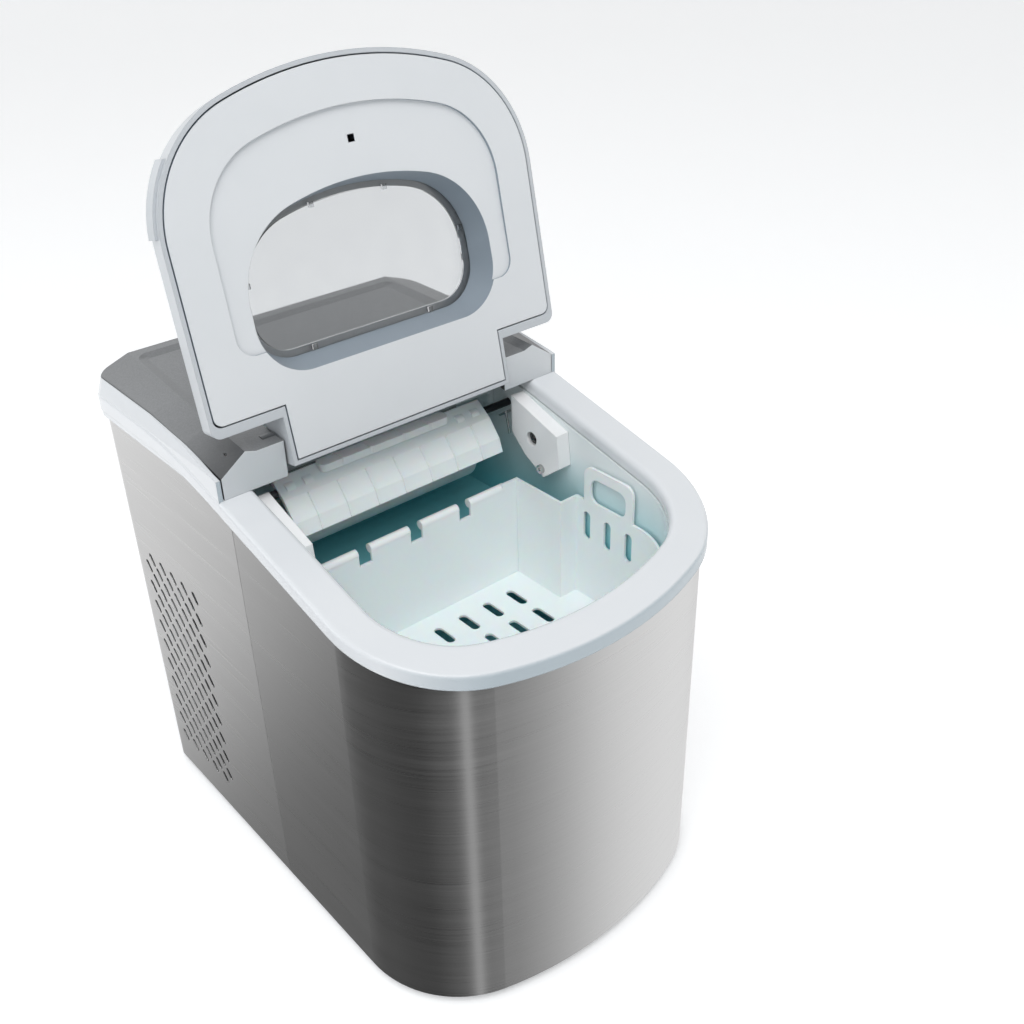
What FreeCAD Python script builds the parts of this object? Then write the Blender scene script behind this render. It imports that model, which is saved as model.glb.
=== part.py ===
import FreeCAD, Part
import math
import os

# Countertop ice maker, lid open. Millimetres. X runs across, Y to the back, Z up.
# The origin is on the counter, in the middle of the body's plan.

# Driving sizes of the body
BODY_WIDTH = 242.0
BODY_DEPTH = 332.0
RIM_HEIGHT = 280.6        # rim plane above the counter, over the origin
RIM_SLOPE = 13.7          # degrees, the rim falls towards the front
CORNER_RADIUS = 71.6      # front corners in plan
BOW_RADIUS = 232.0        # bowed front in plan
REAR_RADIUS = 12.0        # rear corners in plan
FOOT_HEIGHT = 5.0
BASE_GAP = 6.0            # bottom edge of the metal above the counter

# Rim, bin and rear housing
RIM_WIDTH = 22.0
RIM_ROLL = 2.2            # roll of the rim's outer top edge
LIP_WIDTH = 5.0           # solid inner lip of the rim
LIP_ROLL = 3.8
BAND_HEIGHT = 8.4
REAR_BAND_HEIGHT = 10.6
SKIN = 2.6
HOUSING_DEPTH = 154.0     # rear edge to the face of the hinge covers
TONGUE_BAY = 31.0         # depth of the gap between the hinge covers
COVER_WIDTH = 43.0        # each hinge cover, measured from the body's side
RISER_RISE = 26.0         # top of the white riser above the rim plane over the origin
TANK_DEPTH = 175.0        # tank floor below the rim plane over the origin
SHELF_DEPTH = 92.6        # tray shelf below the rim plane over the origin
SHEET = 0.8
SHEET_INSET = 3.2
SEAM_OFFSET = 4.4         # side seam in front of the hinge cover face

# Lid, drawn closed and flat before it is swung open
LID_THICKNESS = 22.8
LID_SIDE_GAP = 2.8
LID_FRONT_GAP = 6.0
LID_WALL = 2.4
LID_TAPER = 4.0           # the lid's side walls lean in by this much at its top
EAR_BORDER = 3.0          # extra thickness of the shell's rear wall
LID_OPEN = 115.4          # degrees between closed and open
TONGUE_LENGTH = 34.2
TONGUE_GAP = 1.3
HINGE_BACK = 10.5         # hinge axis behind the hinge cover face
HINGE_RISE = 18.0         # hinge axis above the rim plane beside it
LID_EDGE = 16.8           # rear edge of the lid's ears in front of the hinge axis
PIN_RADIUS = 2.5
RUNNING = 0.05            # radial running clearance of shafts and pins
GAP = 0.3                 # fitting gap between separate pieces

# Ice works
TRAY_RADIUS = 21.0
TRAY_BACK = 44.0          # tray axis behind the hinge cover face
TRAY_RISE = 42.0          # tray axis above the shelf
TRAY_HALF = 72.0
SHOVEL_BACK = 21.0
SHOVEL_DROP = 26.7        # shovel axis below the rim plane beside it
SHOVEL_HALF = 76.0
SHAFT_RADIUS = 2.5
MOTOR_SIZE = 27.0
FAN_RADIUS = 37.0

# Worked out from the sizes above
HALF = BODY_WIDTH / 2
FRONT = -BODY_DEPTH / 2
REAR = BODY_DEPTH / 2
SLOPE = math.tan(math.radians(RIM_SLOPE))
FACE_Y = REAR - HOUSING_DEPTH
BAY_HALF = HALF - COVER_WIDTH
BAY_BACK = FACE_Y + TONGUE_BAY
OPENING_BACK = BAY_BACK + 3.0
FLOOR = RIM_HEIGHT - TANK_DEPTH
SHELF = RIM_HEIGHT - SHELF_DEPTH
BAND_LEVEL = RIM_HEIGHT + 5.8
RISER_TOP = RIM_HEIGHT + RISER_RISE
TANK_WALL = 2.5
TANK_DROP = BAND_HEIGHT + 1.1    # top of the tank below the rim plane
TANK_INSET = RIM_WIDTH + 0.6
TANK_HALF = HALF - TANK_INSET
TANK_BACK = FACE_Y + 67.5
STEP_Y = FACE_Y + 20.0
HINGE_Y = FACE_Y + HINGE_BACK
TRAY_Y = FACE_Y + TRAY_BACK
TRAY_Z = SHELF + TRAY_RISE
SHOVEL_Y = FACE_Y + SHOVEL_BACK
FAN_Y = FACE_Y + 92.0
FAN_Z = BASE_GAP + 104.0

# Controls on the housing
PANEL_FRONT = FACE_Y + 40.0
PANEL_LENGTH = 34.0
PANEL_HALF = 48.0
BUTTON_RADIUS = 8.0
BUTTON_X = 28.0
PANEL_TILT = 2.7
PANEL_Y = PANEL_FRONT + PANEL_LENGTH / 2
PANEL_Z = RISER_TOP - 1.2 + math.tan(math.radians(PANEL_TILT)) * (PANEL_Y - FACE_Y)

# Vents, drain and inlet
VENT_COLUMNS = 10
VENT_ROWS = 10
VENT_COLUMN_PITCH = 7.15
VENT_ROW_PITCH = 16.1
VENT_LENGTH = 9.4
VENT_WIDTH = 3.8
VENT_LEAN = 37.0
VENT_FRONT = FACE_Y + 64.6
VENT_BOTTOM = BASE_GAP + 27.0
REAR_PANEL_HALF = HALF - 22.0
SEAM_Y = FACE_Y - SEAM_OFFSET
DRAIN_X = -20.0
DRAIN_Z = BASE_GAP + 22.0
GLAND_X = HALF - 36.0
GLAND_Z = BASE_GAP + 34.0

# Basket
BASKET_INSET = TANK_INSET + 1.6
BASKET_BOTTOM = FLOOR + 42.0 + 0.2
BASKET_TOP = FLOOR + 116.0
BASKET_BACK = FACE_Y - 4.0
BASKET_WALL = 1.8
BASKET_NECK = 14.0        # the basket narrows by this much each side to pass the sensor brackets
NECK_Y = FACE_Y - 46.0
HANDLE_FRONT = FACE_Y - 96.0
HANDLE_WIDTH = 42.0

# Sensor brackets
SENSOR_Y = FACE_Y - 13.0
SENSOR_Z = RIM_HEIGHT - 29.6
SCREW_Y = FACE_Y - 22.0
SCREW_Z = RIM_HEIGHT - 47.6
BRACKET_DEPTH = 10.0

# Lid, worked out from the sizes above
LID_HALF = HALF - LID_SIDE_GAP
LID_REACH = (HINGE_Y - LID_EDGE - FRONT - LID_FRONT_GAP) / math.cos(math.radians(RIM_SLOPE)) - 2.4
LID_CORNER = CORNER_RADIUS - 2.6
LID_BOW = BOW_RADIUS - 4.0
EAR_REAR = 6.0
EAR_RADIUS = 1.5          # rear corners of the lid, at its top
TONGUE_HALF = BAY_HALF - TONGUE_GAP
HINGE_V = 21.1            # hinge axis behind the lid's own origin
HINGE_N = 14.8            # hinge axis above the lid's inner face
WINDOW_HALF = LID_HALF - 46.7
WINDOW_FRONT = -LID_REACH + 71.2
WINDOW_REAR = -22.3
LIP_FRONT = -LID_REACH + 35.0
GRIP_LENGTH = 36.0
GRIP_PROUD = 0.8
PANEL_GAP = 0.8           # shadow gap between the inner panel and the shell
WELL_DEPTH = 17.6
WELL_FLARE = 8.5

# Refrigeration and fan
COMPRESSOR_X = 40.0
COMPRESSOR_Y = FACE_Y + 88.0
COMPRESSOR_RADIUS = 46.0
COMPRESSOR_BOTTOM = BASE_GAP + 14.0
COMPRESSOR_HEIGHT = SHELF - 58.0
CONDENSER_LEFT = -HALF + 9.0
CONDENSER_THICK = 18.0
CONDENSER_HALF = 42.0
SHROUD_LEFT = CONDENSER_LEFT + CONDENSER_THICK + 0.2
SHROUD_DEPTH = 20.0
FAN_MOTOR_X = SHROUD_LEFT + SHROUD_DEPTH - 2.0

# Pump
PUMP_X = 55.0
PUMP_Y = STEP_Y - 50.0
PUMP_FLOOR = FOOT_HEIGHT + 2.5


def vec(x, y, z):
    return FreeCAD.Vector(x, y, z)


def rim_z(y):
    return RIM_HEIGHT + SLOPE * y


HINGE_Z = rim_z(FACE_Y) + HINGE_RISE
SHOVEL_Z = rim_z(SHOVEL_Y) - SHOVEL_DROP
X_AXIS = vec(1, 0, 0)
Y_AXIS = vec(0, 1, 0)
Z_AXIS = vec(0, 0, 1)


# ---- general shapes ----

def box(x_low, x_high, y_low, y_high, z_low, z_high):
    return Part.makeBox(x_high - x_low, y_high - y_low, z_high - z_low, vec(x_low, y_low, z_low))


def rod(radius, start, end):
    along = end - start
    return Part.makeCylinder(radius, along.Length, start, along)


def join(shapes):
    return shapes[0].fuse(shapes[1:]).removeSplitter()


def pipe(radius, points):
    """Round tube or wire through a list of points, with ball-shaped bends."""
    runs = [rod(radius, start, end) for start, end in zip(points, points[1:])]
    bends = [Part.makeSphere(radius, point) for point in points[1:-1]]
    return join(runs + bends)


def upright_edges(shape, height):
    """Edges that run straight up and are at least the given height."""
    found = []
    for edge in shape.Edges:
        size = edge.BoundBox
        if size.ZLength >= height and size.XLength < 0.01 and size.YLength < 0.01:
            found.append(edge)
    return found


def rounded_box(x_low, x_high, y_low, y_high, z_low, z_high, radius):
    block = box(x_low, x_high, y_low, y_high, z_low, z_high)
    return block.makeFillet(radius, upright_edges(block, z_high - z_low - 0.01))


def bowed_wire(half, front, rear, corner, bow, rear_radius, z):
    """Closed outline: straight sides, rounded front corners, bowed front, rounded rear corners."""
    bow_y = front + bow
    corner_x = half - corner
    corner_y = bow_y - math.sqrt((bow - corner) ** 2 - corner_x ** 2)
    reach = bow / (bow - corner)
    touch_x = corner_x * reach
    touch_y = bow_y + (corner_y - bow_y) * reach
    middle = math.atan2(corner_y - bow_y, corner_x) / 2
    middle_x = corner_x + corner * math.cos(middle)
    middle_y = corner_y + corner * math.sin(middle)
    cut = rear_radius * (1 - math.sqrt(0.5))
    turn_y = rear - rear_radius
    turn_x = half - rear_radius
    edges = [
        Part.makeLine(vec(half, turn_y, z), vec(half, corner_y, z)),
        Part.Arc(vec(half, corner_y, z), vec(middle_x, middle_y, z), vec(touch_x, touch_y, z)).toShape(),
        Part.Arc(vec(touch_x, touch_y, z), vec(0, front, z), vec(-touch_x, touch_y, z)).toShape(),
        Part.Arc(vec(-touch_x, touch_y, z), vec(-middle_x, middle_y, z), vec(-half, corner_y, z)).toShape(),
        Part.makeLine(vec(-half, corner_y, z), vec(-half, turn_y, z)),
        Part.Arc(vec(-half, turn_y, z), vec(cut - half, rear - cut, z), vec(-turn_x, rear, z)).toShape(),
        Part.makeLine(vec(-turn_x, rear, z), vec(turn_x, rear, z)),
        Part.Arc(vec(turn_x, rear, z), vec(half - cut, rear - cut, z), vec(half, turn_y, z)).toShape(),
    ]
    return Part.Wire(edges)


def body_wire(inset, z, rear=None):
    """The body's outline drawn in by an inset, ending at another rear line where one is given."""
    rear_line = REAR - inset if rear is None else rear
    rear_radius = max(REAR_RADIUS - inset, 2.0)
    return bowed_wire(HALF - inset, FRONT + inset, rear_line, CORNER_RADIUS - inset, BOW_RADIUS - inset,
                      rear_radius, z)


def body_block(inset, z_low, z_high, rear=None):
    return Part.Face(body_wire(inset, z_low, rear)).extrude(vec(0, 0, z_high - z_low))


def across(edges):
    """Solid running past both sides of the body from a side outline drawn at x = 0."""
    reach = BODY_WIDTH
    face = Part.Face(Part.Wire(edges))
    face.translate(vec(-reach, 0, 0))
    return face.extrude(vec(2 * reach, 0, 0))


def side_polygon(points):
    corners = [vec(0, y, z) for y, z in points]
    return across(Part.makePolygon(corners + corners[:1]).Edges)


def knee(drop, level):
    """Side line that follows the rim plane, then turns level: start, middle and end of the turn."""
    knee_y = (level + drop - RIM_HEIGHT) / SLOPE
    run = 33.0
    angle = math.radians(RIM_SLOPE)
    radius = run / math.tan(angle / 2)
    start = vec(0, knee_y - run * math.cos(angle), level - run * math.sin(angle))
    centre_y = knee_y + run
    middle = vec(0, centre_y - radius * math.sin(angle / 2), level - radius * (1 - math.cos(angle / 2)))
    return start, middle, vec(0, centre_y, level)


def knee_region(low_drop, low_level, high_drop, high_level):
    """Everything between two side lines, each falling with the rim and level at the rear."""
    low_start, low_middle, low_end = knee(low_drop, low_level)
    high_start, high_middle, high_end = knee(high_drop, high_level)
    front = FRONT - 10.0
    rear = REAR + 10.0
    low_front = vec(0, front, rim_z(front) - low_drop)
    high_front = vec(0, front, rim_z(front) - high_drop)
    low_rear = vec(0, rear, low_level)
    high_rear = vec(0, rear, high_level)
    return across([
        Part.makeLine(low_front, low_start),
        Part.Arc(low_start, low_middle, low_end).toShape(),
        Part.makeLine(low_end, low_rear),
        Part.makeLine(low_rear, high_rear),
        Part.makeLine(high_rear, high_end),
        Part.Arc(high_end, high_middle, high_start).toShape(),
        Part.makeLine(high_start, high_front),
        Part.makeLine(high_front, low_front),
    ])


def below_rim(drop, rear_y):
    """Region under the sloping rim plane, as far back as rear_y."""
    front = FRONT - 10.0
    return side_polygon([(front, -10.0), (rear_y, -10.0), (rear_y, rim_z(rear_y) - drop),
                         (front, rim_z(front) - drop)])


def riser_stations():
    """(y, z) of the line where the white riser ends and the rear housing begins."""
    return [(FACE_Y, RISER_TOP - 10.7), (FACE_Y + 38.0, RISER_TOP - 4.0), (FACE_Y + 78.0, RISER_TOP - 0.6),
            (REAR + 8.0, RISER_TOP)]


def rear_wire(inset, z):
    """Outline of the rear part of the body, from the hinge cover face back."""
    half = HALF - inset
    rear = REAR - inset
    radius = max(REAR_RADIUS - inset, 2.0)
    cut = radius * (1 - math.sqrt(0.5))
    return Part.Wire([
        Part.makeLine(vec(-half, FACE_Y, z), vec(-half, rear - radius, z)),
        Part.Arc(vec(-half, rear - radius, z), vec(cut - half, rear - cut, z),
                 vec(radius - half, rear, z)).toShape(),
        Part.makeLine(vec(radius - half, rear, z), vec(half - radius, rear, z)),
        Part.Arc(vec(half - radius, rear, z), vec(half - cut, rear - cut, z),
                 vec(half, rear - radius, z)).toShape(),
        Part.makeLine(vec(half, rear - radius, z), vec(half, FACE_Y, z)),
        Part.makeLine(vec(half, FACE_Y, z), vec(-half, FACE_Y, z)),
    ])


# ---- top frame and housing ----

def riser_block(inset):
    """Upright below the band's crease, leaning in above it."""
    crease = BAND_LEVEL + REAR_BAND_HEIGHT
    lean = 3.4
    upright = Part.Face(rear_wire(inset, FLOOR)).extrude(vec(0, 0, crease - FLOOR))
    top = RISER_TOP + 1.0
    leaning = Part.makeLoft([rear_wire(inset, crease), rear_wire(inset + lean, top)], True, True)
    return upright.fuse(leaning)


def top_edges(shape, inset):
    """Edges of a shape where its top surface meets an upright wall drawn in by an inset."""
    rim = body_wire(inset, 0.0, OPENING_BACK if inset > 0.0 else None)
    found = []
    for edge in shape.Edges:
        middle = edge.valueAt((edge.FirstParameter + edge.LastParameter) / 2)
        near_rim = middle.z > rim_z(min(middle.y, BAND_LEVEL)) - 1.5
        high = near_rim or middle.z > BAND_LEVEL + REAR_BAND_HEIGHT - 0.1
        flat = FreeCAD.Vector(middle.x, middle.y, 0.0)
        if high and rim.distToShape(Part.Vertex(flat))[0] < 0.01:
            found.append(edge)
    return found


def top_frame():
    crease = BAND_LEVEL + REAR_BAND_HEIGHT
    band = body_block(0.0, FLOOR, RISER_TOP).common(knee_region(BAND_HEIGHT, BAND_LEVEL, 0.0, crease))
    band = band.makeFillet(RIM_ROLL, top_edges(band, 0.0))
    hollow = body_block(SKIN, FLOOR, RISER_TOP).common(knee_region(30.0, FLOOR, SKIN, crease - SKIN))
    hollow = hollow.cut(body_block(RIM_WIDTH - LIP_WIDTH, FLOOR, RISER_TOP, OPENING_BACK + LIP_WIDTH))
    bin_opening = body_block(RIM_WIDTH, FLOOR, RISER_TOP, OPENING_BACK)
    works_opening = box(-BAY_HALF - RIM_WIDTH, BAY_HALF + RIM_WIDTH, OPENING_BACK + 8.0, REAR - 16.0,
                        FLOOR, RISER_TOP)
    stations = riser_stations()
    rim_back = (REAR + 8.0, rim_z(FACE_Y) - 1.0)
    side = side_polygon([(FACE_Y, rim_z(FACE_Y) - 1.0)] + stations + [rim_back])
    riser = riser_block(0.6).cut(riser_block(0.6 + SKIN)).common(side)
    ring = band.cut(hollow).cut(bin_opening).cut(works_opening)
    ring = ring.makeFillet(LIP_ROLL, top_edges(ring, RIM_WIDTH))
    return ring.fuse(riser).removeSplitter()


def housing_section(half, base_z, ridge_half, ridge_z, y, shrink):
    """Cross-section of the rear housing: upright sides, bevels, flat top."""
    low = FLOOR
    points = [(-half + shrink, low), (-half + shrink, base_z - shrink),
              (-ridge_half + shrink, ridge_z - shrink),
              (ridge_half - shrink, ridge_z - shrink), (half - shrink, base_z - shrink), (half - shrink, low)]
    corners = [vec(x, y, z) for x, z in points]
    return Part.makePolygon(corners + corners[:1])


def housing_block(shrink):
    """Solid form of the housing, from the hinge cover face to the rear."""
    stations = riser_stations()
    ridge_front = HALF - 19.6
    ridge_rear = HALF - 26.0
    halves = [HALF - 3.2, HALF - 3.2, HALF - 4.0, HALF - 4.0]
    ridge_rises = [11.5, 6.8, 5.2, 8.0]
    front = stations[0][0]
    span = stations[-1][0] - front
    sections = []
    for (y, z), half, rise in zip(stations, halves, ridge_rises):
        ridge = ridge_front + (ridge_rear - ridge_front) * (y - front) / span
        sections.append(housing_section(half, z, ridge, z + rise, y, shrink))
    form = Part.makeLoft(sections, True, True)
    plan = Part.Face(rear_wire(4.0 + shrink, FLOOR)).extrude(vec(0, 0, BODY_WIDTH))
    plan.translate(vec(0, shrink, 0))
    return form.common(plan)


def top_pocket():
    """Recessed field of the housing top, with sloping sides, open towards the lid."""
    length = HOUSING_DEPTH - 10.0
    floor_front = HALF - 25.8
    floor_rear = HALF - 32.0
    side = 6.2

    def outline(spread, z):
        back = length - 6.0 + spread
        points = [(-floor_front - spread, -10.0), (floor_front + spread, -10.0), (floor_rear + spread, back),
                  (-floor_rear - spread, back)]
        corners = [vec(x, y, z) for x, y in points]
        return Part.makePolygon(corners + corners[:1])

    tool = Part.makeLoft([outline(0.0, 0.0), outline(side, 2.0), outline(side, 12.0)], True, True)
    rear_corners = [edge for edge in tool.Edges if edge.BoundBox.YMin > length / 2
                    and edge.BoundBox.ZLength > 1.0]
    tool = tool.makeFillet(9.0, rear_corners)
    tool.rotate(vec(0, 0, 0), X_AXIS, 2.7)
    tool.translate(vec(0, FACE_Y, RISER_TOP - 1.2))
    return tool


def on_panel(shape):
    """Set a shape drawn round the origin down on the sloping field of the housing top."""
    shape.rotate(vec(0, 0, 0), X_AXIS, PANEL_TILT)
    shape.translate(vec(0, PANEL_Y, PANEL_Z))
    return shape


def rear_housing(frame):
    pocket = top_pocket()
    outer = housing_block(0.0).cut(pocket)
    bay = box(-BAY_HALF, BAY_HALF, FACE_Y - 5.0, BAY_BACK, FLOOR, RISER_TOP + 40.0)
    outer = outer.cut(bay)
    wall = SKIN
    lowered = pocket.copy()
    lowered.translate(vec(0, 0, -wall))
    inner_bay = box(-BAY_HALF - wall, BAY_HALF + wall, FACE_Y - 5.0, BAY_BACK + wall, FLOOR, RISER_TOP + 40.0)
    inner = housing_block(wall).cut(lowered).cut(inner_bay)
    stations = riser_stations()
    bay_end = BAY_BACK + wall
    keep = side_polygon([(FACE_Y, rim_z(FACE_Y)), (bay_end, rim_z(bay_end)), (bay_end, RISER_TOP - 6.0),
                         (stations[1][0] + 12.0, stations[1][1]), (stations[2][0], stations[2][1] - 4.0),
                         (REAR + 8.0, RISER_TOP - 4.0), (REAR + 8.0, RISER_TOP + 40.0),
                         (FACE_Y, RISER_TOP + 40.0)])
    shell = outer.cut(inner).common(keep).cut(frame)
    cutters = []
    for x in (-BUTTON_X, BUTTON_X):
        cutters.append(on_panel(Part.makeCylinder(BUTTON_RADIUS + GAP, 20.0, vec(x, 0, -10.0))))
    cutters.append(on_panel(box(-9.0, 9.0, -3.0, 3.0, -10.0, 10.0)))
    pins = pin_line(BAY_HALF - 20.0, BAY_HALF + 30.0, PIN_RADIUS + RUNNING)
    solids = shell.cut(cutters + pins + axle_bosses(0.0)).Solids
    biggest = max(solids, key=lambda solid: solid.Volume)
    bosses = [boss.cut(pins[0]).cut(pins[1]) for boss in axle_bosses(0.0)]
    return join([biggest] + bosses)


def axle_bosses(grow):
    """Bearing blocks inside the hinge covers."""
    blocks = []
    for side in (-1, 1):
        start = vec(side * BAY_HALF, HINGE_Y, HINGE_Z)
        end = vec(side * (BAY_HALF + 8.0), HINGE_Y, HINGE_Z)
        blocks.append(rod(5.0 + grow, start, end))
    return blocks


def pin_line(inner, outer, radius):
    """The two lengths of the hinge axis, left and right."""
    lines = []
    for side in (-1, 1):
        lines.append(rod(radius, vec(side * inner, HINGE_Y, HINGE_Z), vec(side * outer, HINGE_Y, HINGE_Z)))
    return lines


def control_overlay():
    plate = rounded_box(-PANEL_HALF, PANEL_HALF, -PANEL_LENGTH / 2, PANEL_LENGTH / 2, 0.0, 0.6, 5.0)
    for x in (-BUTTON_X, BUTTON_X):
        plate = plate.cut(Part.makeCylinder(BUTTON_RADIUS + GAP, 4.0, vec(x, 0, -2.0)))
    plate = plate.cut(box(-9.0, 9.0, -3.0, 3.0, -2.0, 2.0))
    return on_panel(plate)


def button(x):
    cap = Part.makeCylinder(BUTTON_RADIUS, 4.6, vec(x, 0, -2.8))
    top_edges = [edge for edge in cap.Edges if edge.BoundBox.ZMin > 1.7]
    cap = cap.makeFillet(0.8, top_edges)
    stem = Part.makeCylinder(3.0, 3.0, vec(x, 0, -5.8))
    return on_panel(cap.fuse(stem).removeSplitter())


def indicator_lens():
    return on_panel(box(-9.0 + 0.1, 9.0 - 0.1, -2.9, 2.9, -SKIN, 0.4))


def control_board():
    board = box(-PANEL_HALF + 4.0, PANEL_HALF - 4.0, -14.0, 14.0, -9.6, -8.0)
    switches = [box(x - 3.0, x + 3.0, -3.0, 3.0, -8.0, -7.0) for x in (-BUTTON_X, BUTTON_X)]
    posts = [box(x - 2.0, x + 2.0, y - 2.0, y + 2.0, -8.0, -SKIN - 0.1)
             for x in (-PANEL_HALF + 8.0, PANEL_HALF - 8.0) for y in (-11.0, 11.0)]
    return on_panel(join([board] + switches + posts))


# ---- metal cabinet ----

def cabinet_sheet(y_low, y_high):
    """The metal wrap between two depths."""
    top = knee_region(400.0, BASE_GAP - 20.0, BAND_HEIGHT - 4.6, BAND_LEVEL + 4.6)
    ring = body_block(SHEET_INSET, BASE_GAP, RISER_TOP)
    ring = ring.cut(body_block(SHEET_INSET + SHEET, 0.0, RISER_TOP + 5.0))
    return ring.common(box(-HALF, HALF, y_low, y_high, BASE_GAP, RISER_TOP)).common(top)


def slot(length, width, depth):
    """Pill-shaped cutter standing on end, running along X."""
    straight = length - width
    body = box(-depth / 2, depth / 2, -width / 2, width / 2, -straight / 2, straight / 2)
    ends = [Part.makeCylinder(width / 2, depth, vec(-depth / 2, 0, z), X_AXIS)
            for z in (-straight / 2, straight / 2)]
    return body.fuse(ends)


def vent_cutters(side):
    """Staggered columns of leaning slots through one side of the cabinet."""
    pattern = slot(VENT_LENGTH, VENT_WIDTH, 12.0)
    pattern.rotate(vec(0, 0, 0), X_AXIS, -VENT_LEAN)
    cutters = []
    for column in range(VENT_COLUMNS):
        for row in range(VENT_ROWS):
            stagger = VENT_ROW_PITCH / 2 if column % 2 == 0 else 0.0
            cutter = pattern.copy()
            cutter.translate(vec(side * (HALF - SHEET_INSET), VENT_FRONT + column * VENT_COLUMN_PITCH,
                                 VENT_BOTTOM + stagger + row * VENT_ROW_PITCH))
            cutters.append(cutter)
    return cutters


def front_wrap():
    return cabinet_sheet(FRONT - 1.0, SEAM_Y - GAP / 2)


def side_panel(side):
    sheet = cabinet_sheet(SEAM_Y + GAP / 2, REAR + 1.0)
    reach = sorted((side * REAR_PANEL_HALF, side * (HALF + 1.0)))
    sheet = sheet.common(box(reach[0], reach[1], FRONT, REAR + 1.0, 0.0, RISER_TOP))
    return sheet.cut(vent_cutters(side))


def rear_panel():
    sheet = cabinet_sheet(FACE_Y, REAR + 1.0)
    half = REAR_PANEL_HALF - GAP
    sheet = sheet.common(box(-half, half, REAR - 10.0, REAR + 1.0, 0.0, RISER_TOP))
    cutters = [rod(8.6, vec(DRAIN_X, REAR - 20.0, DRAIN_Z), vec(DRAIN_X, REAR + 5.0, DRAIN_Z)),
               rod(8.0, vec(GLAND_X, REAR - 20.0, GLAND_Z), vec(GLAND_X, REAR + 5.0, GLAND_Z))]
    pattern = slot(22.0, 3.8, 12.0)
    pattern.rotate(vec(0, 0, 0), Z_AXIS, 90.0)
    for row in range(3):
        for column in range(13):
            cutter = pattern.copy()
            cutter.translate(vec((column - 6) * 9.0, REAR - SHEET_INSET, RIM_HEIGHT - 110.0 + row * 30.0))
            cutters.append(cutter)
    return sheet.cut(cutters)


def base_plate():
    wall = SHEET_INSET + SHEET + 0.1
    tray = body_block(wall, FOOT_HEIGHT, FOOT_HEIGHT + 18.0).cut(
        body_block(wall + 2.0, FOOT_HEIGHT + 2.5, FOOT_HEIGHT + 30.0))
    holes = [rod(2.0, vec(x, y, 0), vec(x, y, 20.0)) for x, y in foot_centres()]
    rear_cuts = [rod(8.6, vec(DRAIN_X, REAR - 20.0, DRAIN_Z), vec(DRAIN_X, REAR + 5.0, DRAIN_Z))]
    return tray.cut(holes + rear_cuts)


def foot_centres():
    x = HALF - 33.0
    return [(-x, FRONT + 70.0), (x, FRONT + 70.0), (-x, REAR - 15.0), (x, REAR - 15.0)]


def foot(x, y):
    pad = Part.makeCone(9.0, 10.5, FOOT_HEIGHT, vec(x, y, 0))
    stem = Part.makeCylinder(1.95, 5.0, vec(x, y, FOOT_HEIGHT))
    head = Part.makeCylinder(3.2, 1.6, vec(x, y, FOOT_HEIGHT + 2.6))
    return join([pad, stem, head])


# ---- tank, insulation and basket ----

def tank_region(grow):
    """Side shape of the tank: deep bin in front, raised shelf under the tray at the rear."""
    step = STEP_Y + grow
    back = TANK_BACK + grow
    return side_polygon([(FRONT, FLOOR - grow), (step, FLOOR - grow), (step, SHELF - grow),
                         (back, SHELF - grow),
                         (back, rim_z(OPENING_BACK) - TANK_DROP),
                         (OPENING_BACK, rim_z(OPENING_BACK) - TANK_DROP),
                         (FRONT, rim_z(FRONT) - TANK_DROP)])


def tank():
    outer = body_block(TANK_INSET - TANK_WALL, 0.0, RISER_TOP,
                       TANK_BACK + TANK_WALL).common(tank_region(TANK_WALL))
    inner = body_block(TANK_INSET, 0.0, RISER_TOP + 1.0, TANK_BACK)
    region = tank_region(0.0)
    lifted = region.copy()
    lifted.translate(vec(0, 0, 40.0))
    shell = outer.cut(inner.common(region.fuse(lifted)))
    flange = body_block(12.0, 0.0, RISER_TOP, SHOVEL_Y - MOTOR_SIZE / 2 - 1.0)
    flange = flange.cut(body_block(TANK_INSET, -1.0, RISER_TOP + 1.0, REAR))
    flange = flange.common(below_rim(TANK_DROP, OPENING_BACK))
    flange = flange.cut(below_rim(TANK_DROP + 2.5, OPENING_BACK + 1.0))
    ledge = body_block(TANK_INSET - 0.5, FLOOR + 38.0, FLOOR + 42.0, STEP_Y).cut(
        body_block(TANK_INSET + 5.0, 0.0, RISER_TOP, STEP_Y + 5.0))
    shell = join([shell, flange, ledge.cut(box(-HALF, HALF, STEP_Y - 6.0, REAR, 0.0, RISER_TOP))])
    reach = TANK_HALF + TANK_WALL + 1.0
    holes = []
    for y, z in ((SHOVEL_Y, SHOVEL_Z), (TRAY_Y, TRAY_Z)):
        holes.append(rod(SHAFT_RADIUS + RUNNING, vec(-reach, y, z), vec(reach, y, z)))
    holes.append(rod(4.0, vec(DRAIN_X, 0, FLOOR - 10.0), vec(DRAIN_X, 0, FLOOR + 5.0)))
    return shell.cut(holes)


def tank_foam():
    """Insulation between the tank and the metal wrap."""
    low = FLOOR - TANK_WALL - 12.0
    block = body_block(SHEET_INSET + SHEET + 2.0, low, RISER_TOP, SHOVEL_Y - MOTOR_SIZE / 2 - 2.0)
    core = body_block(TANK_INSET - TANK_WALL - GAP, FLOOR - TANK_WALL - GAP, RISER_TOP, STEP_Y + 10.0)
    drain = rod(7.0, vec(DRAIN_X, 0, 0), vec(DRAIN_X, 0, FLOOR))
    return block.cut(core).cut(drain).common(below_rim(BAND_HEIGHT + 9.0, STEP_Y))


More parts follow.
